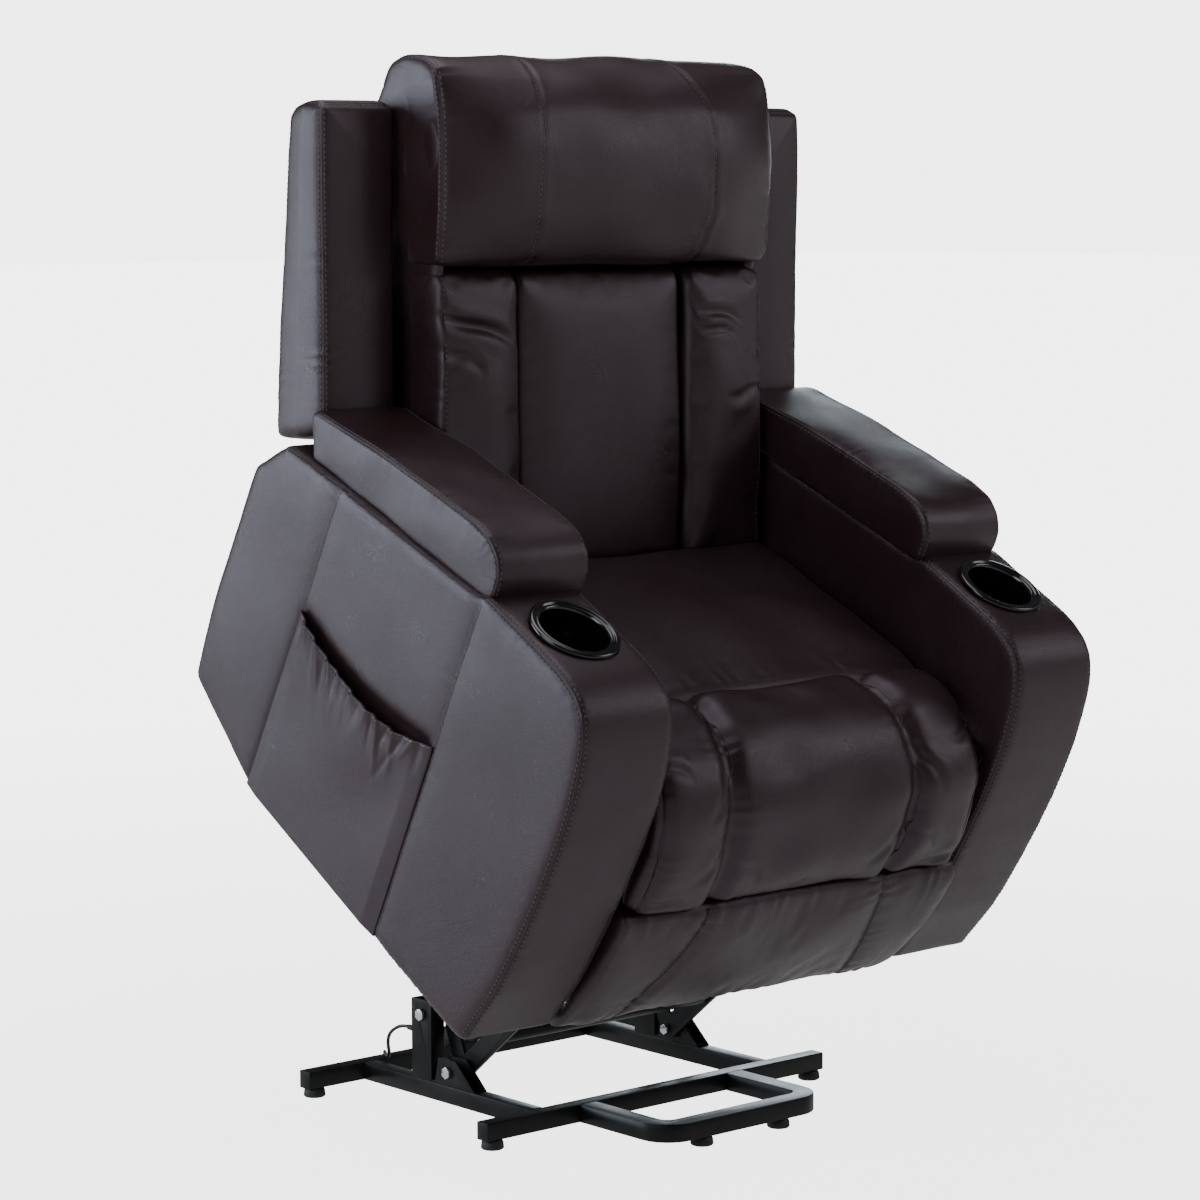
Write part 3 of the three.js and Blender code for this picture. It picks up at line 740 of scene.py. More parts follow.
def step01(t):
    t = np.clip(t, 0, 1)
    return t * t * (3 - 2 * t)


stages = [(35, 3.1), (30, 3.1), (25, 3.1), (25, 8.2), (30, 8.2), (35, 8.2), (30, 13.3), (30, 13.3)]
coil = []
turns = 7 + 20 / 360
for k in range(int(turns * 16) + 1):
    t = k / 16
    i = min(int(t), 6)
    f = step01((t - i - 0.7) / 0.3) if i < 7 else 0
    r = stages[i][0] + (stages[i + 1][0] - stages[i][0]) * f
    z = stages[i][1] + (stages[i + 1][1] - stages[i][1]) * f
    th = math.radians(110 - 360 * t)
    coil.append([-20 + r * math.cos(th), 257 + r * math.sin(th), z])
tail = [[-12, 286.2, 13.4], [-4, 283, 13.4], [4, 276, 13.2], [10, 268, 12.2], [15, 261.5, 10.8], [20, 258, 9.8], [26, 257, 9.4]]
route = np.vstack([catmull(CORD_PATH, 2), catmull([CORD_PATH[-1], [-46, 284, 3.1], coil[0]], 2)[1:-1], np.array(coil), catmull(tail, 2)])
route = (route + [0, YS, 0]) / 1000
curve = bpy.data.curves.new("power_lead", "CURVE")
curve.dimensions = "3D"
curve.bevel_depth = 0.0025
curve.bevel_resolution = 4
sp = curve.splines.new("POLY")
sp.points.add(len(route) - 1)
for pt, v in zip(sp.points, route):
    pt.co = (*v, 1)
sp.use_smooth = True
curve.materials.append(CORD_M)
lead = link(bpy.data.objects.new("power_lead", curve))
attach(lead, "base")
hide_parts("power_cord", "power_cord_coil")


def rounded_box(name, lo, hi, mat, bevel=2.0, segments=3, taper=None):
    bm = bmesh.new()
    bmesh.ops.create_cube(bm, size=1)
    lo, hi = np.array(lo, float), np.array(hi, float)
    for v in bm.verts:
        q = np.array(v.co) + 0.5
        p = lo + q * (hi - lo)
        if taper and q[0] < 0.5:
            c = (lo + hi) / 2
            p[1] = c[1] + (p[1] - c[1]) * taper
            p[2] = c[2] + (p[2] - c[2]) * taper
        v.co = p / 1000
    bmesh.ops.bevel(bm, geom=bm.edges[:], offset=bevel / 1000, segments=segments, profile=0.5, affect="EDGES", clamp_overlap=True)
    bmesh.ops.recalc_face_normals(bm, faces=bm.faces[:])
    me = bpy.data.meshes.new(name)
    bm.to_mesh(me)
    bm.free()
    me.materials.append(mat)
    me.polygons.foreach_set("use_smooth", [True] * len(me.polygons))
    me.set_sharp_from_angle(angle=math.radians(50))
    return link(bpy.data.objects.new(name, me))


plug = rounded_box("plug_body", (23, 245 + YS, 0.5), (52, 269 + YS, 18.3), PLUG_M, 3.0, 4, 0.72)
blades = []
for i, (a, b) in enumerate(((249, 250.6), (263.4, 265))):
    blades.append(rounded_box(f"plug_blade_{i}", (51, a + YS, 6.2), (67.6, b + YS, 12.4), ZINC, 0.5, 2))
tie = lathe("cord_tie", [(7.7, -3), (8.6, -3), (8.8, 0), (8.6, 3), (7.7, 3), (7.7, -3)], np.array([-20, 227 + YS, 8.9]) / 1000, (1, 0, 0), PLUG_M, 32)
for o in [plug, *blades, tie]:
    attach(o, "base")
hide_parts("power_plug")

# ---------------------------------------------------------------- CAD nodes that stay
PAINT = {
    "base_": STEEL, "foot_": RUBBER, "stanchion_": STEEL, "front_pivot_bolt": ZINC, "rear_pivot_bolt": ZINC, "cord_strain_relief": CORD_M,
    "front_lift_link": LINKS, "rear_lift_link": LINKS, "torque_tube": LINKS, "lift_actuator_housing": HOUSING, "lift_actuator_rod": ROD,
    "lift_plate": LINKS, "mechanism_plate": LINKS, "front_cross_tube": LINKS, "rear_cross_tube": LINKS, "seat_frame": WOOD, "rear_skirt_panel": DUST,
    "back_frame": WOOD, "recline_link": LINKS, "footrest_board": WOOD, "recline_actuator_housing": HOUSING, "recline_actuator_rod": ROD,
}
for name, ob in nodes.items():
    for key, mat in PAINT.items():
        if name.startswith(key):
            ob.data.materials.clear()
            ob.data.materials.append(mat)
            ob.data.polygons.foreach_set("material_index", [0] * len(ob.data.polygons))
            weld = ob.modifiers.new("weld", "WELD")
            weld.merge_threshold = 0.00002
            bev = ob.modifiers.new("bevel", "BEVEL")
            bev.width = 0.0011 if key in ("base_", "stanchion_") else 0.0006
            bev.segments = 2
            bev.limit_method = "ANGLE"
            bev.angle_limit = math.radians(35)
            bev.harden_normals = False
            ob.data.polygons.foreach_set("use_smooth", [True] * len(ob.data.polygons))
            ob.data.set_sharp_from_angle(angle=math.radians(35))
            break

# ---------------------------------------------------------------- upholstery outlines
ARM = [(0, 0), (536, 0), (718, 55), (737, 193), (747, 389), (700, 455), (662, 462), (482, 488), (262, 520), (256, 528), (110, 531), (82, 530), (58, 526),
       (37, 517), (20, 502), (8, 482), (-2, 456), (-10, 425), (-17, 387), (-22, 340), (-25, 289), (-26, 240), (-25, 191), (-23, 145), (-19, 100)]
PAD = [(268, 512), (482, 484), (652, 460), (664, 480), (690, 519), (674, 527), (520, 560), (338, 590), (292, 591), (264, 579), (248, 556), (245, 520)]
SEAT = [(100, 345), (178, 300), (460, 298), (518, 372), (440, 392), (300, 408), (200, 417), (166, 414), (120, 400)]
ROLL = [(150, 366), (163, 400), (146, 420), (112, 428), (70, 424), (30, 410), (-2, 386), (-28, 350), (-42, 300), (-45, 250), (-43, 216), (-34, 201),
        (-6, 202), (2, 250), (5, 300), (12, 340), (36, 366), (90, 378)]
FLAP = [(6, 26), (5, 150), (2, 208), (-30, 212), (-41, 208), (-46, 194), (-42, 142), (-35, 92), (-24, 46), (-12, 10), (-2, -8), (8, -14), (20, -13), (27, -4), (26, 14), (18, 26)]
CENTRE = [(-30, 742), (-30, 1172), (-76, 1176), (-90, 1160), (-92, 1040), (-92, 900), (-90, 760), (-80, 742)]
BOLSTER = [(-24, 744), (-24, 1174), (-82, 1178), (-100, 1160), (-104, 1060), (-104, 880), (-98, 770), (-84, 744)]
HEAD = [(-24, 1178), (-24, 1388), (28, 1390), (28, 1426), (8, 1457), (-30, 1470), (-80, 1462), (-116, 1434), (-148, 1390), (-158, 1340), (-150, 1250), (-122, 1188), (-96, 1178)]
WING = [(-25, 962), (86, 950), (78, 1090), (58, 1278), (46, 1382), (36, 1394), (-15, 1399), (-27, 1390)]
COVER = [(30, 760), (72, 764), (84, 800), (83, 960), (77, 1090), (57, 1278), (46, 1388), (30, 1394)]


def line(to_row, pts, step=0.003):
    return dense(to_row(pts), step)[0]


def flip(lines):
    return [l * [-1, 1, 1] for l in lines]


V = 6.5

# --- arms (made on the left, mirrored to the right)
arm = prism("arm_cover_left", ARM, 312, 466, seat_frame, 9, 3, LEATHER)
cup_c = seat_frame([(387.9, 163, 531)])[0]
up_n = np.array([0, -SB, CB])
hole = lathe("hole", [(0, -95), (50, -95), (50, 60), (0, 60)], cup_c, up_n, None, 48)
bool_cut(arm, hole)
slot_cut = prism("slot_cut", [(221, 8), (536, 8), (551, 200), (556, 293), (480, 283), (400, 279), (330, 287), (246, 306)], 458, 480, seat_frame, 0)
bool_cut(arm, slot_cut)
remesh(arm, V)
relax(arm, 3)
f_edge = [(-19, 100), (-25, 191), (-25, 289), (-17, 387), (-2, 456), (8, 482), (20, 502), (37, 517), (58, 526), (82, 530), (110, 531), (256, 529)]
edge_out = line(seat_frame, [(466, 0, 0)] + [(466, a, b) for a, b in f_edge])
edge_in = line(seat_frame, [(312, 0, 0)] + [(312, a, b) for a, b in f_edge])
back_out = line(seat_frame, [(466, a, b) for a, b in [(536, 0), (718, 55), (737, 193), (747, 389), (700, 455), (662, 462)]])
seam2 = line(seat_frame, [(466, 213, 4), (466, 236, 260), (466, 258, 512)])
seam1 = line(seat_frame, [(466, 542, 4), (466, 556, 240), (466, 570, 474)])

# --- arm pad
pad = prism("arm_pad_cushion_left", PAD, 304, 461, seat_frame, 12, 3, LEATHER)
remesh(pad, V * 0.85)
relax(pad, 2)
pad_path = [(245, 525), (249, 556), (265, 578), (292, 590), (338, 589), (430, 575), (520, 559), (600, 542), (676, 525)]
pad_out = line(seat_frame, [(459, a, b) for a, b in pad_path])
pad_in = line(seat_frame, [(306, a, b) for a, b in pad_path])
puff(pad, [pad_out, pad_in], 7, 3, 13, 4.0, 0.0, bend=6.0, hold=[(DOWN, 0.3)])

# --- seat pad
seat = prism("seat_pad", SEAT, -296, 296, seat_frame, 22, 3, LEATHER)
remesh(seat, V)
relax(seat, 3)
seat_tuck = [line(seat_frame, [(k * 157, 164, 414), (k * 230, 140, 402), (k * 296, 132, 384)]) for k in (-1, 1)] + [line(seat_frame, [(-157, 164, 414), (157, 164, 414)])]
puff(seat, seat_tuck, 12, 5, 22, 3.5, 0.004, bend=10.0, hold=[(DOWN, -0.35), (BACK, 0.6)] + SIDES)

# --- footrest roll and flap
roll_pad = prism("roll_pad", ROLL, -300, 300, seat_frame, 12, 3, LEATHER)
remesh(roll_pad, V)
relax(roll_pad, 3)
roll_seams = [line(seat_frame, [(k * 157, 158, 416), (k * 158, 112, 428), (k * 162, 70, 424), (k * 166, 30, 410), (k * 169, -2, 386), (k * 168, -28, 350), (k * 165, -42, 300), (k * 163, -43, 250), (k * 161, -36, 214), (k * 161, -24, 199)]) for k in (-1, 1)]
roll_ends = [line(seat_frame, [(k * 298, a, b) for a, b in ROLL[1:12]]) for k in (-1, 1)]
roll_base = [line(seat_frame, [(-298, -24, 199), (298, -24, 199)])]
puff(roll_pad, roll_seams + roll_ends + roll_base, 8, 2, 24, 4.5, -0.002, sink=17, bend=6.0, hold=[(BACK, 0.3), (DOWN, 0.6)] + SIDES)

flap = prism("flap_pad", FLAP, -309, 309, seat_frame, 4, 2, LEATHER)
remesh(flap, V)
relax(flap, 3)
flap_seams = [line(seat_frame, [(k * 161, -40, 208), (k * 166, -45, 180), (k * 178, -39, 120), (k * 190, -30, 70), (k * 203, -12, 12), (k * 207, 4, -12)]) for k in (-1, 1)]
flap_edges = [line(seat_frame, [(-304, 4, -12), (304, 4, -12)]), line(seat_frame, [(-304, -38, 210), (304, -38, 210)])]
puff(flap, flap_seams + flap_edges, 8, 2, 11, 4.0, -0.003, sink=2, bend=4.0, hold=[(BACK, -0.3), (UP, 0.7), (DOWN, 0.7)] + SIDES)

# --- backrest
centre = prism("centre_pad", CENTRE, -149, 149, back_frame, 14, 3, LEATHER)
remesh(centre, V)
relax(centre, 3)
puff(centre, [], 8, 6, 20, 4.0, -0.003, bend=4.0, hold=[(np.array([0, 1.0, 0]), -0.45)])

bolster = prism("bolster_pad_left", BOLSTER, 153, 296, back_frame, 16, 3, LEATHER)
remesh(bolster, V * 0.9)
relax(bolster, 3)
bol_edge = line(back_frame, [(294, -84, 746), (294, -96, 770), (294, -100, 880), (294, -100, 1060), (294, -98, 1160), (294, -82, 1178)])
puff(bolster, [bol_edge], 7, 4, 22, 4.0, -0.003, bend=5.0, hold=[(np.array([0, 1.0, 0]), -0.3)])

head = prism("headrest_pad", HEAD, -303, 303, back_frame, 14, 3, LEATHER)
remesh(head, V)
relax(head, 3)
head_out = [(-96, 1178), (-122, 1188), (-150, 1250), (-158, 1340), (-148, 1390), (-116, 1434), (-80, 1462), (-30, 1470), (8, 1457)]
head_edges = [line(back_frame, [(k * 301, a, b) for a, b in head_out]) for k in (-1, 1)]
hx = {1178: 149, 1188: 149, 1250: 157, 1340: 156, 1390: 153, 1434: 142, 1462: 137, 1470: 136, 1457: 136}
head_seams = [line(back_frame, [(k * hx[b], a, b) for a, b in head_out]) for k in (-1, 1)]
puff(head, head_edges + head_seams, 6, 4, 16, 4.0, 0.0, sink=1.0, bend=9.0, hold=[(np.array([0, 1.0, 0]), 0.5), (np.array([0, 0, -1.0]), 0.75)] + SIDES)

wing = prism("wing_pad_left", WING, 314, 437, back_frame, 9, 3, LEATHER)
remesh(wing, V * 0.9)
relax(wing, 3)
w_front = line(back_frame, [(437, -25, 962), (437, -27, 1390), (437, -15, 1398)])
w_front_in = line(back_frame, [(314, -25, 962), (314, -27, 1390)])
w_top = line(back_frame, [(437, -22, 1396), (314, -22, 1396)])
w_back = line(back_frame, [(437, 86, 952), (437, 78, 1090), (437, 58, 1278), (437, 46, 1382), (437, 36, 1394)])

GUSSET = [(-70, 750), (-82, 800), (-84, 1150), (-92, 1200), (-104, 1250), (-109, 1340), (-104, 1384), (-88, 1420), (-60, 1446), (-20, 1456), (8, 1444), (24, 1420), (46, 1382),
          (58, 1278), (78, 1090), (80, 960), (80, 800), (66, 764)]
gusset = prism("back_gusset_left", GUSSET, 274, 292, back_frame, 5, 2, LEATHER)
remesh(gusset, V)
relax(gusset, 2)
cover = prism("back_cover_pad", COVER, -300, 300, back_frame, 10, 3, LEATHER)
remesh(cover, V * 1.2)
relax(cover, 3)

print("before cloth %.1f s" % (time.time() - T0))
run_cloth()

# ---------------------------------------------------------------- finishing each piece
for ob in (pad, seat, roll_pad, flap, centre, bolster, head, wing, cover, arm, gusset):
    subdivide(ob, 1)
print("subdivided %.1f s" % (time.time() - T0))
parts = []          # (object, body)


def seam_set(ob, lines, body, tag, rows=(-3.6, 3.6), pipe=0.9, amp=1.2, reach=16, pitch=24, seed=1, groove=1.8, width=4.5, gathers=True):
    """Dips and gathers the leather at the seams, then lays the folded edge, the thread and a dark strip of painted seam
    shade under the thread.
    """
    if not lines:
        return []
    if gathers:
        pucker(ob, lines, amp, reach, pitch, seed, groove, width)
    bvh = tree_of(ob)
    made = []
    snapped = [snap(bvh, l) for l in lines]
    if pipe:
        made.append(piping(f"{tag}_seam", [(p - n * (0.25 * pipe / 1000), n) for p, n in snapped], pipe, LEATHER))
    if rows:
        sets = [offset_row(bvh, smooth_line(p, 4), r) for p, _ in snapped for r in rows]
        made.append(stitch_mesh(f"{tag}_stitch", sets, THREAD))
        # a dark strip just under each stitch row: painted shade of the seam dip and the needle holes
        made.append(piping(f"{tag}_needle_line", [(q - m * 0.00022, m) for q, m in sets], 0.75, SHADOW))
    return made


extras = {}
soft_limit(seat, 0, -309, 309, 8)
soft_limit(roll_pad, 0, -309, 309, 8)
soft_limit(flap, 0, -310.5, 310.5, 3)
soft_limit(centre, 0, -153, 153, 6)
soft_limit(bolster, 0, 150, 299, 4)
soft_limit(head, 0, -305, 305, 4)
soft_limit(wing, 0, 312, 446, 4)
soft_limit(pad, 0, 298, 470, 6)

# arms
undulate(arm, 0.8, 110, 11)
p = get_co(arm)
d, _ = near(p, [edge_out, edge_in, back_out, seam1, seam2], 0.09)
n = get_normals(arm)
crown = (1 - np.exp(-(d * 1000 / 18) ** 1.5)) * 2.2
far = np.abs(n[:, 0]) > 0.7
set_co(arm, p + n * (crown * far / 1000)[:, None])
arm_x = seam_set(arm, [edge_out, edge_in], "seat", "arm_left_edge", (-4.2, 4.2), 1.3, 0.4, 12, 26, 21, 1.9, 4)
arm_y = seam_set(arm, [seam1, seam2, back_out], "seat", "arm_left_side", (3.6,), 0.8, 0.2, 14, 34, 22, 0.7, 3.2)
arm_r = mirrored(arm, "arm_cover_right")
parts += [(arm, "seat"), (arm_r, "seat")]
for o in arm_x + arm_y:
    parts += [(o, "seat"), (mirrored(o, o.name.replace("left", "right")), "seat")]

# arm pads
undulate(pad, 1.0, 70, 31)
pad_x = seam_set(pad, [pad_out, pad_in], "seat", "arm_pad_left_edge", (-4.2, 4.2), 1.2, 0.6, 14, 24, 32, 1.4, 4.5)
pad_r = mirrored(pad, "arm_pad_cushion_right")
parts += [(pad, "seat"), (pad_r, "seat")]
for o in pad_x:
    parts += [(o, "seat"), (mirrored(o, o.name.replace("left", "right")), "seat")]

# pockets: a leather panel sewn on three sides and gathered by an elastic at its mouth
NS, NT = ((150, 110))
hem = np.array([(268.6, 300), (330, 276), (400, 267), (480, 272), (556.4, 286)], float)
outer, inner = [], []
rng = np.random.default_rng(5)
creases = [(c + rng.uniform(-0.02, 0.02), rng.uniform(0.011, 0.021), rng.uniform(1.6, 3.6) * (1 if k % 2 else -0.8), rng.uniform(0.14, 0.42), rng.uniform(-0.25, 0.25))
           for k, c in enumerate(np.linspace(0.05, 0.95, 19))]
for j in range(NT + 1):
    t = j / NT
    for i in range(NS + 1):
        s = i / NS
        w_hem = np.interp(s, (hem[:, 0] - hem[0, 0]) / (hem[-1, 0] - hem[0, 0]), hem[:, 1]) - 3
        w = 3 + (w_hem - 3) * t
        ua, ub = 213 + 45 * w / 508 + 0.5, 542 + 28 * w / 475 - 0.5
        u = ua + (ub - ua) * s
        edge = min(1.0, min(s, 1 - s) * 12)
        bulge = 3.2 * edge + 8.5 * math.sin(math.pi * min(max(s, 0), 1)) ** 0.7 * step01((t - 0.35) / 0.65) ** 1.3
        ruff = 0
        for c, wd, amp, long, lean in creases:
            ruff += amp * math.exp(-((s - c - (lean + 0.5 * (0.5 - c)) * (1 - t)) / (wd * (1 + 1.2 * (1 - t)))) ** 2) * step01((t - 1 + long) / long)
        drape = 1.4 * math.sin(3.1 * s * 3.14 + 4.5 * t) * step01(t * 1.4) * edge
        hemroll = 1.6 * math.exp(-((1 - t) * NT / (2.2 * NT / 110) / 1.6) ** 2)
        x = 466.2 + bulge + ruff * edge + drape + hemroll
        outer.append((x, u, w))
        inner.append((x - 2.6 - hemroll, u, w - (0.0 if j < NT else 0.0)))
no = len(outer)
faces = []
row = NS + 1
for j in range(NT):
    for i in range(NS):
        a = j * row + i
        faces.append((a, a + 1, a + row + 1, a + row))
        faces.append((no + a, no + a + row, no + a + row + 1, no + a + 1))
rim = [i for i in range(NS)]
for i in range(NS):
    faces.append((i + 1, i, no + i, no + i + 1))
    a = NT * row + i
    faces.append((a, a + 1, no + a + 1, no + a))
for j in range(NT):
    a = j * row
    faces.append((a, a + row, no + a + row, no + a))
    a = j * row + NS
    faces.append((a + row, a, no + a, no + a + row))
pocket = new_object("pocket_panel_left", seat_frame(outer + inner), faces, LEATHER)
bm = bmesh.new()
bm.from_mesh(pocket.data)
bmesh.ops.recalc_face_normals(bm, faces=bm.faces[:])
bm.to_mesh(pocket.data)
bm.free()
pocket.data.polygons.foreach_set("use_smooth", [True] * len(pocket.data.polygons))
pocket_r = mirrored(pocket, "pocket_panel_right")
pk = tree_of(pocket)
hem_line = line(seat_frame, [(478, a, b - 9) for a, b in hem])
hem_st = stitch_mesh("pocket_left_stitch", [offset_row(pk, hem_line, 0)], THREAD)
parts += [(pocket, "seat"), (pocket_r, "seat"), (hem_st, "seat"), (mirrored(hem_st, "pocket_right_stitch"), "seat")]

# leather curtain that hangs from the bottom of the back and closes the gap above the rear panel
cu, ci = [], []
NW, NH = 80, 24
for j in range(NH + 1):
    for i in range(NW + 1):
        a, b = i / NW, j / NH
        x = -256 + 512 * a
        y = 72 - 14 * b + 1.8 * b * math.sin(9.2 * a * math.pi + 0.7) + 0.8 * b * math.sin(23 * a + 2)
        cu.append((x, y, 782 - 148 * b))
        ci.append((x, y - 2.4, 782 - 148 * b))
nc = len(cu)
cf = []
for j in range(NH):
    for i in range(NW):
        a = j * (NW + 1) + i
        cf.append((a, a + 1, a + NW + 2, a + NW + 1))
        cf.append((nc + a, nc + a + NW + 1, nc + a + NW + 2, nc + a + 1))
for i in range(NW):
    a = NH * (NW + 1) + i
    cf.append((i + 1, i, nc + i, nc + i + 1))
    cf.append((a, a + 1, nc + a + 1, nc + a))
for j in range(NH):
    a, b = j * (NW + 1), j * (NW + 1) + NW
    cf.append((a, a + NW + 1, nc + a + NW + 1, nc + a))
    cf.append((b + NW + 1, b, nc + b, nc + b + NW + 1))
curtain = new_object("back_curtain", back_frame(cu + ci), cf, LEATHER)
bm = bmesh.new()
bm.from_mesh(curtain.data)
bmesh.ops.recalc_face_normals(bm, faces=bm.faces[:])
bm.to_mesh(curtain.data)
bm.free()
curtain.data.polygons.foreach_set("use_smooth", [True] * len(curtain.data.polygons))
parts.append((curtain, "back"))

# cup holders
prof = [(60.5, 531.2), (60.6, 533.4), (60.0, 535.0), (58.4, 536.0), (54.5, 536.2), (53.4, 535.7), (52.6, 534.3), (51.4, 533.9), (50.2, 534.6), (48.6, 534.4), (47.2, 533.0),
        (46.2, 530.0), (45.6, 520.0), (44.9, 480.0), (44.2, 462.0), (42.6, 455.8), (38, 453.2), (30, 452.8), (0, 452.8)]
prof += [(0, 450.2), (43.5, 450.2), (46.2, 456), (47.6, 500), (48.6, 529.5), (60.0, 530.6), (60.5, 531.2)]
for k, side in ((1, "left"), (-1, "right")):
    base_pt = seat_frame([(k * 387.9, 163, 0)])[0]
    # the profile starts and ends at the rim, so the wall is closed
    cup = lathe(f"cup_{side}", prof, base_pt + up_n * 0.0008, up_n, CUP_M, 96)
    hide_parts(f"cup_holder_{side}")
    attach(cup, "seat")

# seat, roll, flap
undulate(seat, 1.5, 110, 41)
pucker(seat, seat_tuck, 0.6, 18, 30, 42, 1.0, 6)
undulate(roll_pad, 1.8, 60, 51)
for k in (-1, 1):
    fold(roll_pad, seat_frame([(k * 165, 20, 405)])[0], seat_frame([(k * 215, -30, 345)])[0], 2.4, 7)
    fold(roll_pad, seat_frame([(k * 165, -40, 300)])[0], seat_frame([(k * 225, -42, 262)])[0], 2.2, 7)
    fold(roll_pad, seat_frame([(k * 158, -41, 290)])[0], seat_frame([(k * 95, -44, 248)])[0], 2.4, 8)
    fold(roll_pad, seat_frame([(k * 296, 40, 412)])[0], seat_frame([(k * 235, 10, 395)])[0], 2.4, 8)
    fold(roll_pad, seat_frame([(k * 290, -34, 236)])[0], seat_frame([(k * 215, -40, 226)])[0], 3.5, 7)
roll_x = seam_set(roll_pad, roll_seams, "roll", "roll_channels", (), 0.9, 0.9, 20, 24, 52, 4.5, 7)
pucker(roll_pad, roll_ends + roll_base, 1.2, 18, 24, 53, 1.0, 6)
undulate(flap, 1.3, 80, 61)
flap_x = seam_set(flap, flap_seams, "footrest", "flap_channels", (3.6,), 0.8, 1.2, 18, 30, 62, 2.2, 5)
pucker(flap, flap_edges, 1.3, 22, 32, 63, 0.8, 6)

# backrest
hp = get_co(head)
hy, hs = hp[:, 1] * 1000 - YS, np.clip((np.abs(hp[:, 0]) * 1000 - 150) / 152, 0, 1)
hy = np.where(hy < -96, -96 + (hy + 96) * (1 - 0.74 * hs ** 2.2), hy)
hp[:, 1] = (hy + YS) / 1000
set_co(head, hp)
undulate(centre, 1.2, 100, 71)
undulate(bolster, 1.6, 70, 81)
bol_x = seam_set(bolster, [bol_edge], "back", "bolster_left_edge", (4.0,), 0.9, 0.9, 22, 26, 82, 1.8, 5)
bolster_r = mirrored(bolster, "bolster_pad_right")
# the near bolster has a deep slanting crease, the other one a few short ones
fold(bolster_r, back_frame([(-302, -100, 1118)])[0], back_frame([(-168, -112, 1078)])[0], 7.0, 8)
fold(bolster_r, back_frame([(-300, -102, 1075)])[0], back_frame([(-225, -112, 1040)])[0], 3.5, 8)
fold(bolster_r, back_frame([(-300, -102, 905)])[0], back_frame([(-200, -112, 880)])[0], 3.0, 9)
fold(bolster, back_frame([(160, -108, 1120)])[0], back_frame([(250, -112, 1098)])[0], 4.0, 7)
fold(bolster, back_frame([(160, -108, 1090)])[0], back_frame([(240, -112, 1078)])[0], 3.5, 6)
fold(bolster, back_frame([(296, -100, 1000)])[0], back_frame([(215, -112, 985)])[0], 3.0, 8)
undulate(head, 1.5, 80, 91)
head_x = seam_set(head, head_seams, "back", "headrest_channels", (4.2,), 0.9, 0.35, 18, 30, 92, 2.2, 4.5)
he = [l.copy() for l in head_edges]
for l in he:
    y = l[:, 1] * 1000 - YS
    l[:, 1] = (np.where(y < -96, -96 + (y + 96) * 0.27, y) + YS) / 1000
head_y = seam_set(head, he, "back", "headrest_edge", (-4.0, 4.0), 1.0, 0.5, 20, 30, 93, 1.6, 5)
swell(wing, [w_front, w_top, w_front_in, w_back], 6.0, 34)
undulate(wing, 0.7, 110, 101)
wing_x = seam_set(wing, [w_front, w_top, w_back], "back", "wing_left_edge", (-4.0, 4.0), 1.2, 0.8, 14, 26, 102, 1.2, 4.5)
wing_r = mirrored(wing, "wing_pad_right")
gp = get_co(gusset)
gp[:, 0] += 0.011 * step01((gp[:, 2] - 1.15) / 0.12)
set_co(gusset, gp)
undulate(gusset, 1.0, 60, 121)
gusset_r = mirrored(gusset, "back_gusset_right")
parts += [(gusset, "back"), (gusset_r, "back")]
swell(cover, [line(back_frame, [(k * 298, a, b) for a, b in [(72, 764), (84, 800), (83, 960), (77, 1090), (57, 1278), (46, 1388)]]) for k in (-1, 1)], 7.0, 60)
undulate(cover, 1.2, 120, 111)
cov_line = line(back_frame, [(0, 86, 780), (0, 88, 960), (0, 81, 1090), (0, 60, 1278), (0, 48, 1385)])
cov_x = seam_set(cover, [cov_line], "back", "back_cover", (-4.0, 4.0), 0.9, 0.5, 14, 30, 112, 1.5, 4.5)

parts += [(seat, "seat"), (flap, "footrest"), (centre, "back"), (bolster, "back"), (bolster_r, "back"), (head, "back"), (wing, "back"), (wing_r, "back"), (cover, "back")]
parts += [(o, "footrest") for o in flap_x]
parts += [(o, "back") for o in head_x + head_y + cov_x]
for o in bol_x + wing_x:
    parts += [(o, "back"), (mirrored(o, o.name.replace("left", "right")), "back")]
for ob, body in parts:
    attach(ob, body)
for ob in [roll_pad] + roll_x:
    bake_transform(ob)

STANDS = {arm: "arm_left", arm_r: "arm_right", pad: "arm_pad_left", pad_r: "arm_pad_right", seat: "seat_cushion", roll_pad: "footrest_roll", flap: "footrest_flap",
          centre: "back_center_cushion", bolster: "back_bolster_left", bolster_r: "back_bolster_right", head: "headrest_cushion", wing: "wing_left", wing_r: "wing_right",
          cover: "back_cover", pocket: "side_pocket_left", pocket_r: "side_pocket_right"}
for ob, n in STANDS.items():
    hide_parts(n)


def area_of(ob):
    return sum(q.area for q in ob.data.polygons) / 2


# ---------------------------------------------------------------- floor and light
FLOOR_GLOW = (0.85, 5.8)
SKY = (0.09, 5.2)
fl = bpy.data.materials.new("floor")
fl.use_nodes = True
nt = fl.node_tree
bs = nt.nodes["Principled BSDF"]
bs.inputs["Base Color"].default_value = (0.82, 0.82, 0.82, 1)
bs.inputs["Roughness"].default_value = 0.75
bs.inputs["Specular IOR Level"].default_value = 0.2
em = nt.nodes.new("ShaderNodeEmission")
em.inputs["Color"].default_value = (0.83, 0.83, 0.83, 1)
flp = nt.nodes.new("ShaderNodeLightPath")
nt.links.new(map_range(nt, flp.outputs["Is Camera Ray"], 0, 1, FLOOR_GLOW[0], FLOOR_GLOW[1]), em.inputs["Strength"])
mx = nt.nodes.new("ShaderNodeMixShader")
out = nt.nodes["Material Output"]
geo = nt.nodes.new("ShaderNodeTexCoord")
ln = nt.nodes.new("ShaderNodeVectorMath")
ln.operation = "LENGTH"
nt.links.new(geo.outputs["Object"], ln.inputs[0])
nt.links.new(map_range(nt, ln.outputs["Value"], 0.7, 4.0, 0.72, 1.0), mx.inputs[0])
nt.links.new(bs.outputs[0], mx.inputs[1])
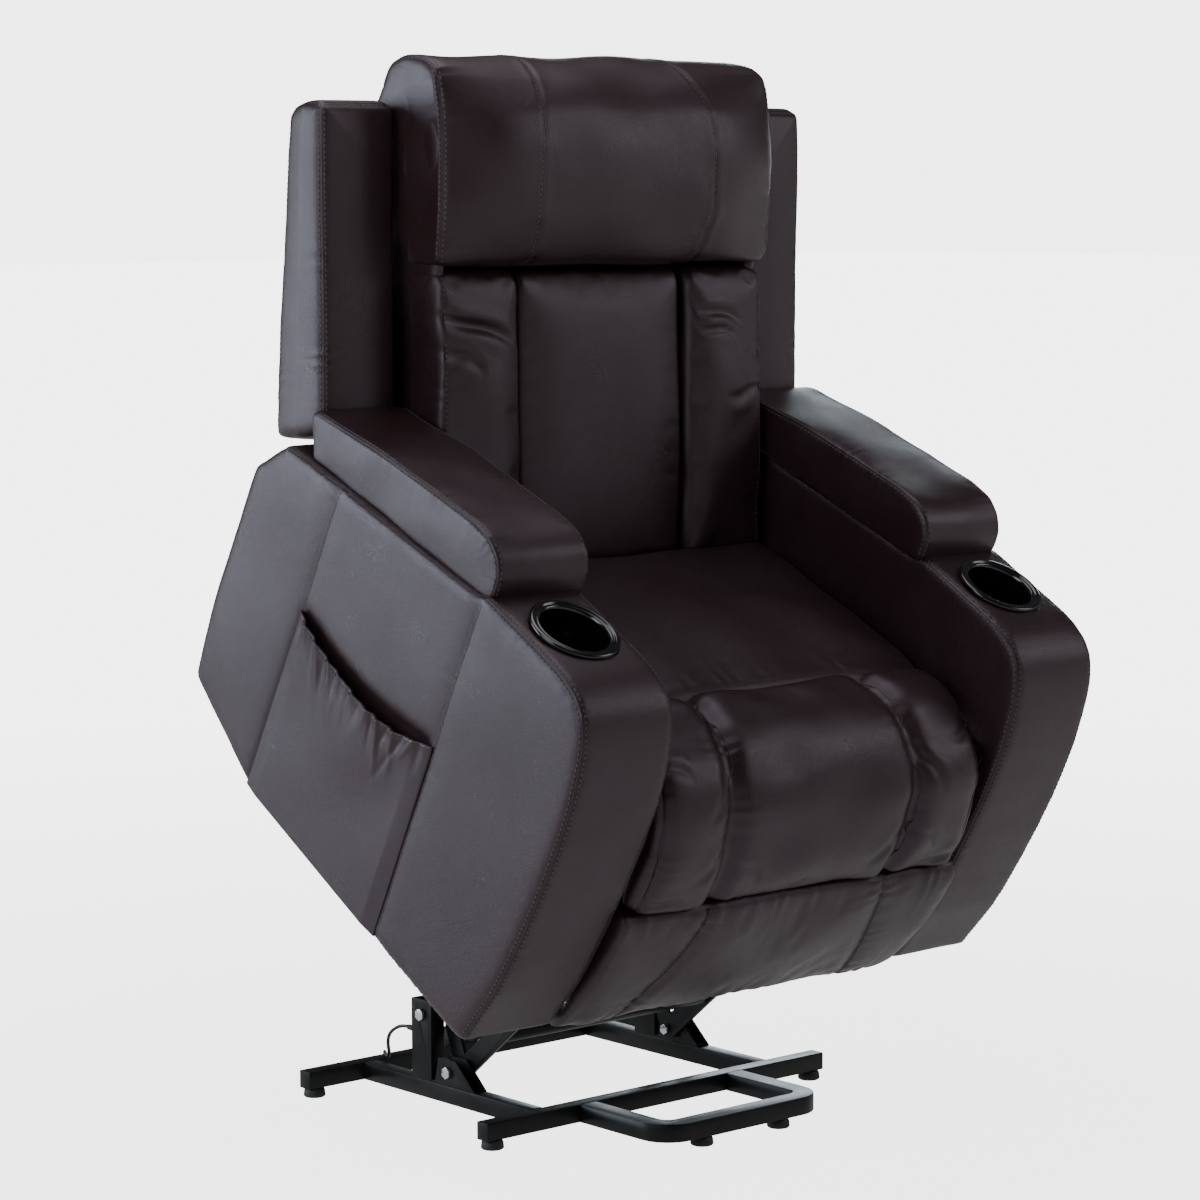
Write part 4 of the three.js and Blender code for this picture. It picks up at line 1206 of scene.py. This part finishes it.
nt.links.new(em.outputs[0], mx.inputs[2])
nt.links.new(mx.outputs[0], out.inputs[0])
bpy.ops.mesh.primitive_grid_add(x_subdivisions=4, y_subdivisions=4, size=120, location=(0, 0, 0))
floor = bpy.context.object
floor.name = "floor"
floor.data.materials.append(fl)

world = bpy.data.worlds.new("studio")
scene.world = world
world.use_nodes = True
wn = world.node_tree
bg = wn.nodes["Background"]
bg.inputs["Color"].default_value = (0.83, 0.83, 0.83, 1)
bg.inputs["Strength"].default_value = SKY[1]
bg2 = wn.nodes.new("ShaderNodeBackground")
bg2.inputs["Color"].default_value = (0.80, 0.82, 0.88, 1)
bg2.inputs["Strength"].default_value = SKY[0]
lp = wn.nodes.new("ShaderNodeLightPath")
wm = wn.nodes.new("ShaderNodeMixShader")
wn.links.new(lp.outputs["Is Camera Ray"], wm.inputs[0])
wn.links.new(bg2.outputs[0], wm.inputs[1])
wn.links.new(bg.outputs[0], wm.inputs[2])
wn.links.new(wm.outputs[0], wn.nodes["World Output"].inputs[0])


def area(name, loc, target, size, power, color=(1, 1, 1)):
    l = bpy.data.lights.new(name, "AREA")
    l.shape = "RECTANGLE"
    l.size, l.size_y = size
    l.energy = power
    l.color = color
    o = link(bpy.data.objects.new(name, l))
    o.location = loc
    o.rotation_mode = "QUATERNION"
    o.rotation_quaternion = (Vector(target) - Vector(loc)).to_track_quat("-Z", "Y")
    return o


area("top_box", (-0.1, 0.3, 3.4), (0, 0, 0.7), (2.6, 2.2), 46, (0.97, 0.93, 1.0))
area("left_box", (-3.4, -0.6, 2.3), (0, 0, 0.8), (1.8, 2.4), 60, (0.82, 0.92, 1.0))
area("left_back_box", (-3.3, 3.3, 1.7), (0, 0, 0.8), (2.6, 2.6), 150, (0.76, 0.89, 1.0))
area("right_box", (2.9, -2.6, 2.6), (0, 0, 0.8), (1.8, 2.2), 39, (0.97, 0.94, 1.0))
area("right_back_box", (3.4, 2.6, 1.35), (0, 0.1, 1.0), (2.0, 2.0), 60, (0.82, 0.94, 1.0))

print("made in %.1f s" % (time.time() - T0), "faces", sum(len(o.data.polygons) for o in scene.objects if o.type == "MESH"))
